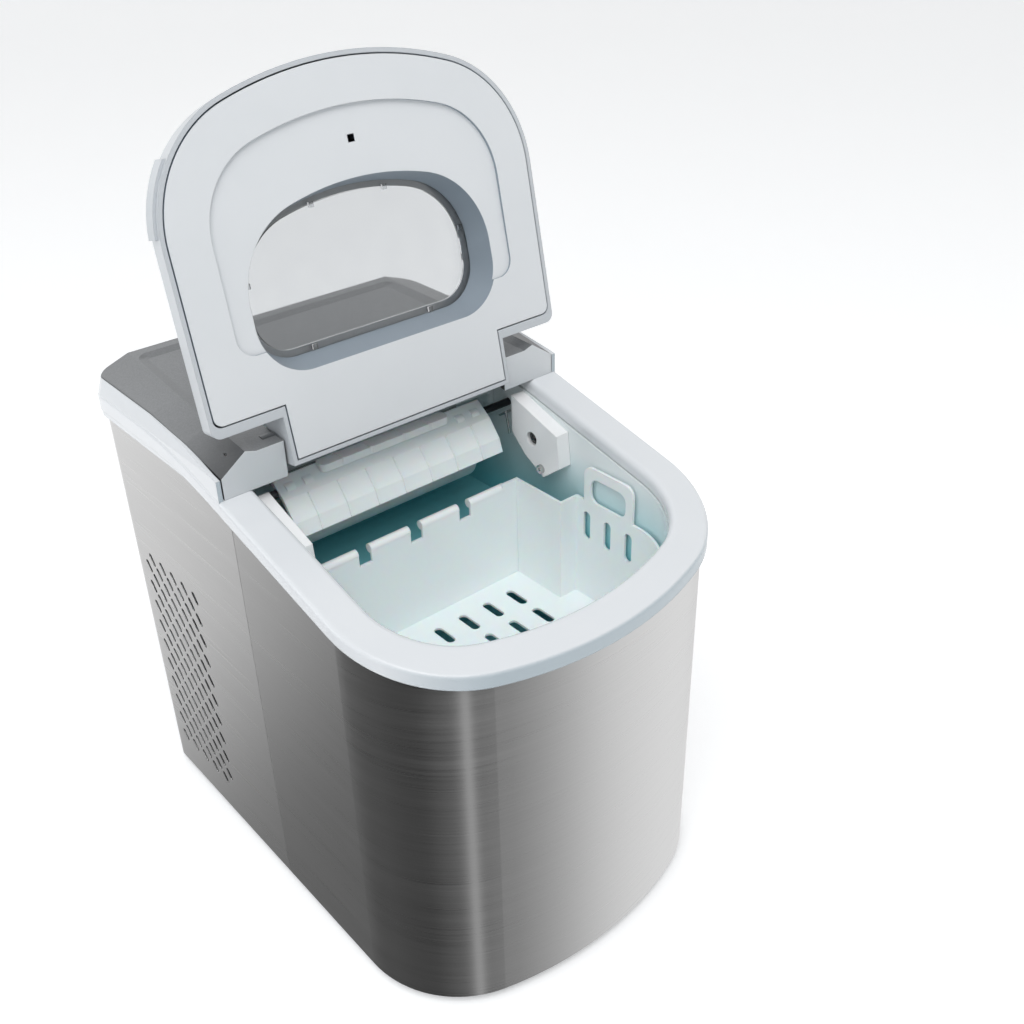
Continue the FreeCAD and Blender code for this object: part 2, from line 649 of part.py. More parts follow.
def basket_handle(side):
    """Looped lifting tab above the basket's side wall, with a long hole."""
    outer_x = side * (HALF - BASKET_INSET)
    inner_x = outer_x - side * BASKET_WALL
    x_low, x_high = sorted((outer_x, inner_x))
    tab = box(x_low, x_high, HANDLE_FRONT, HANDLE_FRONT + HANDLE_WIDTH, BASKET_TOP - 8.0, BASKET_TOP + 25.0)
    corners = [edge for edge in tab.Edges
               if edge.BoundBox.XLength > 1.0 and edge.BoundBox.ZMin > BASKET_TOP + 20.0
               and edge.BoundBox.YLength < 0.1]
    tab = tab.makeFillet(7.0, corners)
    hole = box(x_low - 1.0, x_high + 1.0, HANDLE_FRONT + 6.0, HANDLE_FRONT + HANDLE_WIDTH - 6.0,
               BASKET_TOP + 1.0, BASKET_TOP + 18.0)
    hole = hole.makeFillet(6.0, [edge for edge in hole.Edges if edge.BoundBox.XLength > 1.0])
    return tab.cut(hole)


def basket_tab(x):
    """Rolled-over tab on the basket's rear wall."""
    half = 14.5
    upright = box(x - half, x + half, BASKET_BACK - BASKET_WALL, BASKET_BACK, BASKET_TOP - 20.0,
                  BASKET_TOP - 4.0)
    roll = rod(3.0, vec(x - half, BASKET_BACK + 1.0, BASKET_TOP - 4.0),
               vec(x + half, BASKET_BACK + 1.0, BASKET_TOP - 4.0))
    return upright.fuse(roll)


def basket_form(shrink, bottom, top):
    """Wide bowed front part with a narrower rear part between the sensor brackets."""
    front_part = body_block(BASKET_INSET + shrink, bottom, top, NECK_Y - shrink)
    half = HALF - BASKET_INSET - BASKET_NECK - shrink
    return front_part.fuse(box(-half, half, NECK_Y - 20.0, BASKET_BACK - shrink, bottom,
                               top)).removeSplitter()


def ice_basket():
    outer = basket_form(0.0, BASKET_BOTTOM, BASKET_TOP)
    shell = outer.cut(basket_form(BASKET_WALL, BASKET_BOTTOM + BASKET_WALL, BASKET_TOP + 1.0))
    dip_half = HALF - 52.0
    dip = box(-dip_half, dip_half, BASKET_BACK - 6.0, BASKET_BACK + 2.0, BASKET_TOP - 12.0, BASKET_TOP + 2.0)
    shell = join([shell.cut(dip)] + [basket_handle(side) for side in (-1, 1)]
                 + [basket_tab(x) for x in (-57.0, -19.0, 19.0, 57.0)])
    cutters = []
    pattern = slot(20.0, 6.0, BODY_WIDTH)
    for column in range(3):
        cutter = pattern.copy()
        cutter.translate(vec(0, HANDLE_FRONT + 3.0 + column * 18.0, BASKET_TOP - 18.0))
        cutters.append(cutter)
    for column in range(-3, 4):
        for row in range(4):
            y = BASKET_BACK - 24.0 - row * 26.0
            cutters.append(rounded_box(column * 20.0 - 3.0, column * 20.0 + 3.0, y - 9.0, y + 9.0,
                                       BASKET_BOTTOM - 1.0, BASKET_BOTTOM + 4.0, 2.9))
    return shell.cut(cutters)


# ---- ice making ----

def evaporator():
    z = TRAY_Z + TRAY_RADIUS + 3.0
    block = rounded_box(-TRAY_HALF + 5.0, TRAY_HALF - 5.0, TRAY_Y - 11.0, TRAY_Y + 11.0, z, z + 10.0, 4.0)
    fingers = []
    for index in range(9):
        x = (index - 4) * 14.5
        y = TRAY_Y + (5.5 if index % 2 else -5.5)
        finger = Part.makeCylinder(4.5, z - (TRAY_Z - 10.0), vec(x, y, TRAY_Z - 10.0))
        tip = Part.makeSphere(4.5, vec(x, y, TRAY_Z - 10.0))
        fingers += [finger, tip]
    return join([block] + fingers)


def evaporator_bridge():
    """Bar that hangs the evaporator from the tank's side walls."""
    z = TRAY_Z + TRAY_RADIUS + 13.0
    bar = box(-TANK_HALF + 0.2, TANK_HALF - 0.2, TRAY_Y - 8.0, TRAY_Y + 8.0, z, z + 3.0)
    ears = [box(x - 2.0, x + 2.0, TRAY_Y - 8.0, TRAY_Y + 8.0, z - 8.0, z)
            for x in (-TANK_HALF + 2.2, TANK_HALF - 2.2)]
    return join([bar] + ears)


def water_tray():
    axis_low = vec(-TRAY_HALF, TRAY_Y, TRAY_Z)
    axis_high = vec(TRAY_HALF, TRAY_Y, TRAY_Z)
    trough = rod(TRAY_RADIUS, axis_low, axis_high)
    inside = rod(TRAY_RADIUS - 2.0, axis_low + vec(2.0, 0, 0), axis_high - vec(2.0, 0, 0))
    upper = box(-TRAY_HALF - 1.0, TRAY_HALF + 1.0, TRAY_Y - 30.0, TRAY_Y + 30.0, TRAY_Z, TRAY_Z + 30.0)
    trough = trough.cut(inside).cut(upper)
    hubs = [rod(5.0, vec(side * (TRAY_HALF - 2.0), TRAY_Y, TRAY_Z),
                vec(side * (TRAY_HALF + 3.0), TRAY_Y, TRAY_Z))
            for side in (-1, 1)]
    stubs = [rod(SHAFT_RADIUS, vec(TRAY_HALF, TRAY_Y, TRAY_Z),
                 vec(TANK_HALF + TANK_WALL - 0.5, TRAY_Y, TRAY_Z)),
             rod(SHAFT_RADIUS, vec(-TRAY_HALF, TRAY_Y, TRAY_Z),
                 vec(-TANK_HALF - TANK_WALL - 8.0, TRAY_Y, TRAY_Z))]
    return join([trough] + hubs + stubs)


def ice_shovel():
    """Long curved plate on hinge clips, with a raised strip along its back edge."""
    half = SHOVEL_HALF
    outer = side_polygon([(SHOVEL_Y + 4.0, SHOVEL_Z + 7.5), (SHOVEL_Y + 6.0, SHOVEL_Z + 5.5),
                          (SHOVEL_Y - 6.0, SHOVEL_Z - 3.0), (SHOVEL_Y - 15.0, SHOVEL_Z - 14.0),
                          (SHOVEL_Y - 18.0, SHOVEL_Z - 22.0), (SHOVEL_Y - 20.0, SHOVEL_Z - 21.2),
                          (SHOVEL_Y - 17.0, SHOVEL_Z - 12.5), (SHOVEL_Y - 7.8, SHOVEL_Z - 1.2)])
    plate = outer.common(box(-half, half, FRONT, REAR, 0.0, RISER_TOP))
    strip = rounded_box(-47.0, 47.0, SHOVEL_Y - 4.0, SHOVEL_Y + 5.5, SHOVEL_Z + 3.8, SHOVEL_Z + 8.6, 4.0)
    clips = [rod(4.6, vec(x - 3.0, SHOVEL_Y, SHOVEL_Z), vec(x + 3.0, SHOVEL_Y, SHOVEL_Z))
             for x in (-68.0, -56.0, 56.0, 68.0)]
    raised = outer.copy()
    raised.translate(vec(0, -0.5, 0.6))
    ribs = [raised.common(box(x - 0.6, x + 0.6, FRONT, SHOVEL_Y - 7.0, 0.0, SHOVEL_Z - 1.2))
            for x in (-60.0, -40.0, -20.0, 0.0, 20.0, 40.0, 60.0)]
    cuffs = [rounded_box(x - 1.0, x + 1.0, SHOVEL_Y - 4.4, SHOVEL_Y + 5.9, SHOVEL_Z + 4.2, SHOVEL_Z + 9.1,
                         0.9)
             for x in (-32.0, -12.0, 12.0, 32.0)]
    bore = rod(SHAFT_RADIUS, vec(-half - 5.0, SHOVEL_Y, SHOVEL_Z), vec(half + 5.0, SHOVEL_Y, SHOVEL_Z))
    return join([plate, strip] + clips + ribs + cuffs).cut(bore)


def shovel_shaft():
    return rod(SHAFT_RADIUS, vec(-TANK_HALF - TANK_WALL - 8.0, SHOVEL_Y, SHOVEL_Z),
               vec(TANK_HALF + TANK_WALL - 0.5, SHOVEL_Y, SHOVEL_Z))


def gear_motor(y, z):
    """Geared motor between the tank wall and the metal wrap, with a blind bore for its shaft."""
    x_high = -TANK_HALF - TANK_WALL - 0.1
    size = MOTOR_SIZE / 2
    body = box(x_high - 14.0, x_high, y - size, y + size, z - size, z + size)
    body = body.makeFillet(4.0, [edge for edge in body.Edges if edge.BoundBox.XLength > 1.0])
    return body.cut(rod(SHAFT_RADIUS + RUNNING, vec(x_high - 9.0, y, z), vec(x_high + 1.0, y, z)))


def bracket_outline():
    """Side outline of the sensor arm: sloping arm, bent down to a foot."""
    return side_polygon([(FACE_Y + 6.0, rim_z(FACE_Y) - 8.5), (FACE_Y - 36.0, rim_z(FACE_Y) - 22.5),
                         (FACE_Y - 38.5, rim_z(FACE_Y) - 44.5), (FACE_Y - 24.0, rim_z(FACE_Y) - 56.0),
                         (FACE_Y - 6.0, rim_z(FACE_Y) - 46.0), (FACE_Y + 6.0, rim_z(FACE_Y) - 34.0)])


def sensor_bracket(side):
    wall_x = side * (TANK_HALF - 0.1)
    face_x = wall_x - side * BRACKET_DEPTH
    x_low, x_high = sorted((wall_x, face_x))
    arm = bracket_outline().common(box(x_low, x_high, FRONT, REAR, 0.0, RISER_TOP))
    holes = [rod(4.6, vec(wall_x + side * 0.1, SENSOR_Y, SENSOR_Z), vec(face_x - side, SENSOR_Y, SENSOR_Z)),
             rod(1.6, vec(wall_x + side * 0.1, SCREW_Y, SCREW_Z), vec(face_x - side, SCREW_Y, SCREW_Z))]
    return arm.cut(holes)


def infrared_sensor(side):
    wall_x = side * (TANK_HALF - 0.2)
    tip_x = wall_x - side * (BRACKET_DEPTH - 2.6)
    body = rod(4.3, vec(wall_x, SENSOR_Y, SENSOR_Z), vec(tip_x, SENSOR_Y, SENSOR_Z))
    return body.fuse(Part.makeSphere(2.5, vec(tip_x, SENSOR_Y, SENSOR_Z))).removeSplitter()


def bracket_screws():
    screws = []
    for side in (-1, 1):
        face_x = side * (TANK_HALF - 0.1 - BRACKET_DEPTH)
        shank = rod(1.5, vec(face_x + side * (BRACKET_DEPTH - 0.5), SCREW_Y, SCREW_Z),
                    vec(face_x, SCREW_Y, SCREW_Z))
        head = rod(3.0, vec(face_x, SCREW_Y, SCREW_Z), vec(face_x - side * 1.8, SCREW_Y, SCREW_Z))
        drive = rod(1.1, vec(face_x - side * 0.8, SCREW_Y, SCREW_Z),
                    vec(face_x - side * 2.5, SCREW_Y, SCREW_Z))
        screws.append(shank.fuse(head).removeSplitter().cut(drive))
    return Part.makeCompound(screws)


def retaining_wire():
    """Bent wire clip beside the right end of the shovel."""
    x = TANK_HALF - 9.0
    return pipe(0.8,
                [vec(TANK_HALF - 0.1, FACE_Y + 19.0, SHOVEL_Z - 6.0), vec(x, FACE_Y + 19.0, SHOVEL_Z - 6.0),
                      vec(x, FACE_Y + 13.0, SHOVEL_Z - 2.0), vec(x, FACE_Y + 9.5, SHOVEL_Z - 16.0)])


# ---- lid ----


def place_lid(shape):
    """Turn a shape drawn on the closed, level lid into the open lid's place."""
    shape.translate(vec(0, -HINGE_V, -HINGE_N))
    shape.rotate(vec(0, 0, 0), X_AXIS, RIM_SLOPE - LID_OPEN)
    shape.translate(vec(0, HINGE_Y, HINGE_Z))
    return shape


def lid_form(shrink, height, edge_radius, rear=None):
    """Lid with its tongue: side walls that lean in, and the top edge rolled over."""
    rear = EAR_REAR - shrink if rear is None else rear
    taper = LID_TAPER * height / LID_THICKNESS
    wires = [bowed_wire(LID_HALF - inset, -LID_REACH + inset, rear, LID_CORNER - inset, LID_BOW - inset,
                        EAR_RADIUS + shrink + taper - inset, z)
             for inset, z in ((shrink, 0.0), (shrink + taper, height))]
    body = Part.makeLoft(wires, True, True)
    body = body.makeFillet(edge_radius, [edge for edge in body.Edges if edge.BoundBox.ZMin > height - 0.01])
    half = TONGUE_HALF - shrink
    tongue = box(-half, half, -30.0, TONGUE_LENGTH - shrink, 0.0, height)
    rear_top = [edge for edge in tongue.Edges
                if edge.BoundBox.XLength > 20.0 and edge.BoundBox.YMin > 1.0
                and edge.BoundBox.ZMin > height - 0.01]
    return body.fuse(tongue.makeFillet(edge_radius, rear_top)).removeSplitter()


def window_wire(spread, z):
    """D-shaped outline of the lid's window."""
    half = WINDOW_HALF + spread
    return bowed_wire(half, WINDOW_FRONT - spread, WINDOW_REAR + spread, 40.0 + spread, 165.0, 20.0 + spread,
                      z)


def grip_lips():
    """Finger lips that stand out a little at both front corners of the lid."""
    proud = GRIP_PROUD
    outline = bowed_wire(LID_HALF + proud, -LID_REACH - proud, EAR_REAR, LID_CORNER + proud, LID_BOW, 2.5,
                         4.0)
    lips = Part.Face(outline).extrude(vec(0, 0, 8.0))
    return [lips.common(box(x, x + 40.0, LIP_FRONT, LIP_FRONT + GRIP_LENGTH, 0.0, 20.0))
            for x in (-LID_HALF - 5.0, LID_HALF - 35.0)]


def lid_shell():
    outer = join([lid_form(0.0, LID_THICKNESS, 8.0)] + grip_lips())
    inner = lid_form(LID_WALL, LID_THICKNESS - LID_WALL, 6.0, EAR_REAR - LID_WALL - EAR_BORDER)
    inner = inner.fuse(box(-TONGUE_HALF + LID_WALL, TONGUE_HALF - LID_WALL, -10.0, TONGUE_LENGTH - LID_WALL,
                           -1.0, 1.0))
    shell = outer.cut(inner)
    opening = Part.Face(window_wire(0.0, 10.0)).extrude(vec(0, 0, 20.0))
    half = TONGUE_HALF
    bosses = [rod(5.5, vec(side * (half - 1.0), HINGE_V, HINGE_N),
                  vec(side * (half - 14.0), HINGE_V, HINGE_N))
              for side in (-1, 1)]
    bores = [rod(PIN_RADIUS, vec(side * (half + 1.0), HINGE_V, HINGE_N),
                 vec(side * (half - 10.0), HINGE_V, HINGE_N))
             for side in (-1, 1)]
    return place_lid(join([shell.cut(opening)] + bosses).cut(bores))


def lid_inner_outline(inset, z, height):
    """Plan of the inner panel with its tongue."""
    wire = bowed_wire(LID_HALF - inset, -LID_REACH + inset, EAR_REAR - inset - EAR_BORDER, LID_CORNER - inset,
                      LID_BOW - inset, EAR_RADIUS + LID_TAPER - 0.5, z)
    plate = Part.Face(wire).extrude(vec(0, 0, height))
    half = TONGUE_HALF - inset
    tongue = box(-half, half, -30.0, TONGUE_LENGTH - inset, z, z + height)
    return plate.fuse(tongue).removeSplitter()


def lid_panel():
    plate = lid_inner_outline(LID_WALL + PANEL_GAP, 0.0, 2.6)
    well_outer = Part.makeLoft([window_wire(WELL_FLARE + 2.0, 0.0), window_wire(5.5, WELL_DEPTH)], True, True)
    well_inner = Part.makeLoft([window_wire(WELL_FLARE, 0.0), window_wire(3.5, WELL_DEPTH)], True, True)
    field = Part.Face(bowed_wire(LID_HALF - 26.0, -LID_REACH + 26.0, -30.0, LID_CORNER - 22.0, LID_BOW - 26.0,
                                 10.0, -1.2)).extrude(vec(0, 0, 2.4))
    field.rotate(vec(0, -30.0, 0), X_AXIS, -0.55)
    latch_hole = box(-2.1, 2.1, -LID_REACH + 41.3, -LID_REACH + 45.3, -1.0, 5.0)
    panel = plate.fuse(well_outer).cut(well_inner).cut(field).cut(latch_hole)
    return place_lid(panel)


def lid_window():
    """Clear pane with a flange and the small clips that hold it."""
    flange = Part.Face(window_wire(5.5, WELL_DEPTH + 0.1)).extrude(vec(0, 0, 2.2))
    raised = Part.Face(window_wire(-0.4, WELL_DEPTH + 0.1)).extrude(vec(0, 0, 4.4))
    return place_lid(flange.fuse(raised).removeSplitter())


def window_clips():
    """Small clips round the pane, inside the well."""
    side_x = WINDOW_HALF - 0.2
    top_y = WINDOW_FRONT + 2.0
    low_y = WINDOW_REAR + 1.5
    places = [(-side_x, -62.0), (side_x, -62.0), (-40.0, low_y), (40.0, low_y), (-24.0, top_y), (24.0, top_y)]
    clips = []
    for x, y in places:
        clips.append(place_lid(box(x - 1.5, x + 1.5, y - 1.5, y + 1.5, WELL_DEPTH - 1.6, WELL_DEPTH)))
    return Part.makeCompound(clips)


def hinge_pins():
    """Pins pressed into the lid's tongue, turning in the hinge covers."""
    return Part.makeCompound(pin_line(TONGUE_HALF - 10.0, BAY_HALF + 7.0, PIN_RADIUS))


# ---- refrigeration and fan ----


def compressor():
    can = Part.makeCylinder(COMPRESSOR_RADIUS, COMPRESSOR_HEIGHT,
                            vec(COMPRESSOR_X, COMPRESSOR_Y, COMPRESSOR_BOTTOM))
    can = can.makeFillet(18.0, [edge for edge in can.Edges if edge.BoundBox.ZLength < 0.01])
    weld = Part.makeCylinder(COMPRESSOR_RADIUS + 1.5, 4.0,
                             vec(COMPRESSOR_X, COMPRESSOR_Y, COMPRESSOR_BOTTOM + COMPRESSOR_HEIGHT / 2))
    plate = rounded_box(COMPRESSOR_X - 44.0, COMPRESSOR_X + 44.0, COMPRESSOR_Y - 44.0, COMPRESSOR_Y + 44.0,
                        COMPRESSOR_BOTTOM - 2.0, COMPRESSOR_BOTTOM + 1.0, 10.0)
    terminals = box(COMPRESSOR_X + 30.0, COMPRESSOR_X + 54.0, COMPRESSOR_Y - 14.0, COMPRESSOR_Y + 14.0,
                    COMPRESSOR_BOTTOM + 40.0, COMPRESSOR_BOTTOM + 72.0)
    holes = [rod(4.0, vec(x, y, 0), vec(x, y, COMPRESSOR_BOTTOM + 4.0)) for x, y in grommet_centres()]
    return join([can, weld, plate, terminals]).cut(holes)


def grommet_centres():
    reach = 37.0
    return [(COMPRESSOR_X + dx * reach, COMPRESSOR_Y + dy * reach) for dx in (-1, 1) for dy in (-1, 1)]


def compressor_grommets():
    grommets = []
    for x, y in grommet_centres():
        foot_pad = Part.makeCylinder(6.5, COMPRESSOR_BOTTOM - 2.1 - FOOT_HEIGHT - 2.5,
                                     vec(x, y, FOOT_HEIGHT + 2.5))
        neck = Part.makeCylinder(3.7, 8.0, vec(x, y, COMPRESSOR_BOTTOM - 3.0))
        grommets.append(foot_pad.fuse(neck).removeSplitter())
    return Part.makeCompound(grommets)


def condenser():
    low = BASE_GAP + 30.0
    high = FAN_Z + 62.0
    core = box(CONDENSER_LEFT, CONDENSER_LEFT + CONDENSER_THICK, FAN_Y - CONDENSER_HALF,
               FAN_Y + CONDENSER_HALF,
               low, high)
    grooves = []
    for index in range(20):
        y = FAN_Y - CONDENSER_HALF + 4.0 + index * 4.0
        grooves.append(box(CONDENSER_LEFT - 1.0, CONDENSER_LEFT + 5.0, y - 1.2, y + 1.2, low + 3.0,
                           high - 3.0))
        grooves.append(box(CONDENSER_LEFT + 13.0, CONDENSER_LEFT + 19.0, y - 1.2, y + 1.2, low + 3.0,
                           high - 3.0))
    feet = [box(CONDENSER_LEFT, CONDENSER_LEFT + CONDENSER_THICK, y - 5.0, y + 5.0, FOOT_HEIGHT + 2.5, low)
            for y in (FAN_Y - 34.0, FAN_Y + 34.0)]
    return join([core.cut(grooves)] + feet)


def fan_shroud():
    x_low = SHROUD_LEFT
    x_high = SHROUD_LEFT + SHROUD_DEPTH
    frame = box(x_low, x_high, FAN_Y - 43.0, FAN_Y + 43.0, FAN_Z - 43.0, FAN_Z + 43.0)
    throat = rod(FAN_RADIUS + 2.0, vec(x_low - 1.0, FAN_Y, FAN_Z), vec(x_high + 1.0, FAN_Y, FAN_Z))
    struts = [box(x_high - 2.0, x_high, FAN_Y - 2.5, FAN_Y + 2.5, FAN_Z - 42.0, FAN_Z + 42.0),
              box(x_high - 2.0, x_high, FAN_Y - 42.0, FAN_Y + 42.0, FAN_Z - 2.5, FAN_Z + 2.5)]
    hub_hole = rod(12.0, vec(x_high - 5.0, FAN_Y, FAN_Z), vec(x_high + 5.0, FAN_Y, FAN_Z))
    leg = box(x_low, x_high, FAN_Y - 30.0, FAN_Y + 30.0, FOOT_HEIGHT + 2.5, FAN_Z - 43.0)
    ring = rod(15.0, vec(x_high - 2.0, FAN_Y, FAN_Z), vec(x_high, FAN_Y, FAN_Z))
    return join([frame.cut(throat), leg, ring] + struts).cut(hub_hole)


def fan_motor():
    start = FAN_MOTOR_X + 2.1
    can = rod(16.0, vec(start, FAN_Y, FAN_Z), vec(start + 20.0, FAN_Y, FAN_Z))
    nose = rod(11.9, vec(start - 2.0, FAN_Y, FAN_Z), vec(start, FAN_Y, FAN_Z))
    bore = rod(1.5 + RUNNING, vec(start - 3.0, FAN_Y, FAN_Z), vec(start + 10.0, FAN_Y, FAN_Z))
    return join([can, nose]).cut(bore)


def fan_rotor():
    hub_start = SHROUD_LEFT + 3.0
    hub_end = hub_start + 12.0
    hub = rod(12.0, vec(hub_start, FAN_Y, FAN_Z), vec(hub_end, FAN_Y, FAN_Z))
    shaft = rod(1.5, vec(hub_end, FAN_Y, FAN_Z), vec(FAN_MOTOR_X + 10.0, FAN_Y, FAN_Z))
    blades = []
    for index in range(7):
        blade = box(-6.0, 6.0, -0.8, 0.8, 10.0, FAN_RADIUS)
        blade.rotate(vec(0, 0, 0), Z_AXIS, 50.0)
        blade.rotate(vec(0, 0, 0), X_AXIS, 360.0 / 7 * index)
        blade.translate(vec(hub_start + 6.0, FAN_Y, FAN_Z))
        blades.append(blade.common(rod(FAN_RADIUS, vec(hub_start, FAN_Y, FAN_Z), vec(hub_end, FAN_Y, FAN_Z))))
    return join([hub, shaft] + blades)


def discharge_pipe():
    top = COMPRESSOR_BOTTOM + COMPRESSOR_HEIGHT
    over = FAN_Z + 70.0
    x_end = CONDENSER_LEFT + 9.0
    return pipe(3.0, [vec(COMPRESSOR_X, COMPRESSOR_Y + 15.0, top + 0.1),
                      vec(COMPRESSOR_X, COMPRESSOR_Y + 15.0, over),
                      vec(x_end, COMPRESSOR_Y + 15.0, over), vec(x_end, COMPRESSOR_Y + 15.0, FAN_Z + 62.1)])


def suction_pipe():
    top = COMPRESSOR_BOTTOM + COMPRESSOR_HEIGHT
    y = TANK_BACK + TANK_WALL + 8.0
    return pipe(3.5, [vec(COMPRESSOR_X, y, top + 0.1), vec(COMPRESSOR_X, y, TRAY_Z + 30.0),
                      vec(COMPRESSOR_X + 20.0, y, TRAY_Z + 30.0)])


def filter_drier():
    x = -HALF + 70.0
    y = REAR - 24.0
    body = rod(8.0, vec(x, y, RIM_HEIGHT - 90.0), vec(x, y, RIM_HEIGHT - 30.0))
    ends = [rod(2.5, vec(x, y, RIM_HEIGHT - 98.0), vec(x, y, RIM_HEIGHT - 90.0)),
            rod(2.5, vec(x, y, RIM_HEIGHT - 30.0), vec(x, y, RIM_HEIGHT - 22.0))]
    return join([body] + ends)


def gas_valve():
    x = COMPRESSOR_X + 40.0
    y = REAR - 26.0
    z = RIM_HEIGHT - 70.0
    coil = rounded_box(x - 13.0, x + 13.0, y - 13.0, y + 13.0, z, z + 24.0, 3.0)
    stem = Part.makeCylinder(5.0, 44.0, vec(x, y, z - 14.0))
    base = box(x - 9.0, x + 9.0, y - 6.0, y + 6.0, z - 22.0, z - 12.0)
    return join([coil, stem, base])


def refrigerant_line():
    """Capillary run from the drier across to the hot gas valve."""
    x_start = -HALF + 70.0
    x_end = COMPRESSOR_X + 40.0
    y = REAR - 24.0
    top = RIM_HEIGHT - 21.9
    over = RIM_HEIGHT - 12.0
    return pipe(2.0, [vec(x_start, y, top), vec(x_start, y, over), vec(x_end, y, over),
                      vec(x_end, y, RIM_HEIGHT - 39.9)])


# ---- water and electrics below the tank ----


def water_pump():
    motor = Part.makeCylinder(17.0, 34.0, vec(PUMP_X, PUMP_Y, PUMP_FLOOR + 3.0))
    volute = Part.makeCylinder(21.0, 14.0, vec(PUMP_X, PUMP_Y, PUMP_FLOOR + 37.0))
    plate = rounded_box(PUMP_X - 24.0, PUMP_X + 24.0, PUMP_Y - 20.0, PUMP_Y + 20.0, PUMP_FLOOR,
                        PUMP_FLOOR + 3.0, 4.0)
    outlet = rod(4.0, vec(PUMP_X, PUMP_Y + 14.0, PUMP_FLOOR + 44.0),
                 vec(PUMP_X + 30.0, PUMP_Y + 14.0, PUMP_FLOOR + 44.0))
    return join([motor, volute, plate, outlet])


def pump_hose():
    x_wall = TANK_HALF + TANK_WALL + 9.0
    y = PUMP_Y + 14.0
    back = STEP_Y + 8.0
    z = PUMP_FLOOR + 44.0
    return pipe(4.0, [vec(PUMP_X + 30.1, y, z), vec(x_wall, y, z), vec(x_wall, back, z),
                      vec(x_wall, back, SHELF + 30.0),
                      vec(TANK_HALF + TANK_WALL + 0.1, back, SHELF + 30.0)])


def drain_hose():
    """From the tank floor down and back to the rear panel."""
    return pipe(5.0, [vec(DRAIN_X, 0, FLOOR - TANK_WALL - 0.1), vec(DRAIN_X, 0, DRAIN_Z),
                      vec(DRAIN_X, REAR - 24.0, DRAIN_Z)])


def drain_socket():
    """Socket behind the rear panel that takes the drain cap."""
    start = REAR - 23.9
    face = REAR - SHEET_INSET
    body = rod(8.3, vec(DRAIN_X, start, DRAIN_Z), vec(DRAIN_X, face, DRAIN_Z))
    bore = rod(5.0, vec(DRAIN_X, start + 4.0, DRAIN_Z), vec(DRAIN_X, face + 5.0, DRAIN_Z))
    return body.cut(bore)


def drain_cap():
    face = REAR - SHEET_INSET + 0.1
    head = rod(9.5, vec(DRAIN_X, face, DRAIN_Z), vec(DRAIN_X, REAR - 0.2, DRAIN_Z))
    plug = rod(4.95, vec(DRAIN_X, face - 10.0, DRAIN_Z), vec(DRAIN_X, face, DRAIN_Z))
    return join([head, plug])


def power_gland():
    """Round inlet for the supply lead in the rear panel."""
    face = REAR - SHEET_INSET
    flange = rod(11.0, vec(GLAND_X, face + 0.1, GLAND_Z), vec(GLAND_X, REAR - 0.3, GLAND_Z))
    neck = rod(7.7, vec(GLAND_X, face - 8.0, GLAND_Z), vec(GLAND_X, face + 0.2, GLAND_Z))
    passage = rod(3.8, vec(GLAND_X, face - 10.0, GLAND_Z), vec(GLAND_X, REAR + 2.0, GLAND_Z))
    return join([flange, neck]).cut(passage)


def main_board():
    z = PUMP_FLOOR
    board = box(-70.0, 10.0, FRONT + 60.0, FRONT + 120.0, z + 8.0, z + 9.6)
    posts = [box(x - 3.0, x + 3.0, y - 3.0, y + 3.0, z, z + 8.0)
             for x in (-64.0, 4.0) for y in (FRONT + 66.0, FRONT + 114.0)]
    parts = [box(-62.0, -34.0, FRONT + 70.0, FRONT + 94.0, z + 9.6, z + 32.0),
             box(-24.0, -6.0, FRONT + 72.0, FRONT + 90.0, z + 9.6, z + 25.0),
             Part.makeCylinder(6.0, 20.0, vec(-16.0, FRONT + 106.0, z + 9.6))]
    return join([board] + posts + parts)


def write_all():
    os.makedirs("parts", exist_ok=True)
    frame = top_frame()
    nodes = {
        "top_frame": frame,
        "rear_housing": rear_housing(frame),
        "control_overlay": control_overlay(),
        "power_button": button(-BUTTON_X),
        "size_button": button(BUTTON_X),
        "indicator_lens": indicator_lens(),
        "control_board": control_board(),
        "front_wrap": front_wrap(),
        "side_panel_left": side_panel(-1),
        "side_panel_right": side_panel(1),
        "rear_panel": rear_panel(),
        "base_plate": base_plate(),
        "tank": tank(),
        "tank_foam": tank_foam(),
        "ice_basket": ice_basket(),
        "evaporator": evaporator(),
        "evaporator_bridge": evaporator_bridge(),
        "water_tray": water_tray(),
        "ice_shovel": ice_shovel(),
        "shovel_shaft": shovel_shaft(),
        "shovel_motor": gear_motor(SHOVEL_Y, SHOVEL_Z),
        "tray_motor": gear_motor(TRAY_Y, TRAY_Z),
        "sensor_bracket_left": sensor_bracket(-1),
        "sensor_bracket_right": sensor_bracket(1),
        "infrared_sensor_left": infrared_sensor(-1),
        "infrared_sensor_right": infrared_sensor(1),
        "bracket_screws": bracket_screws(),
        "retaining_wire": retaining_wire(),
        "lid_shell": lid_shell(),
        "lid_panel": lid_panel(),
        "lid_window": lid_window(),
        "window_clips": window_clips(),
        "hinge_pins": hinge_pins(),
        "compressor": compressor(),
        "compressor_grommets": compressor_grommets(),
        "condenser": condenser(),
        "fan_shroud": fan_shroud(),
        "fan_motor": fan_motor(),
        "fan_rotor": fan_rotor(),
        "discharge_pipe": discharge_pipe(),
        "suction_pipe": suction_pipe(),
        "filter_drier": filter_drier(),
        "gas_valve": gas_valve(),
        "refrigerant_line": refrigerant_line(),
        "water_pump": water_pump(),
        "pump_hose": pump_hose(),
        "drain_hose": drain_hose(),
        "drain_socket": drain_socket(),
        "drain_cap": drain_cap(),
        "power_gland": power_gland(),
        "main_board": main_board(),
    }
    corners = ("front_left", "front_right", "rear_left", "rear_right")
    for name, (x, y) in zip(corners, foot_centres()):
        nodes["foot_" + name] = foot(x, y)
    for name, shape in nodes.items():
        shape.exportStep("parts/" + name + ".step")


write_all()
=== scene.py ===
import math

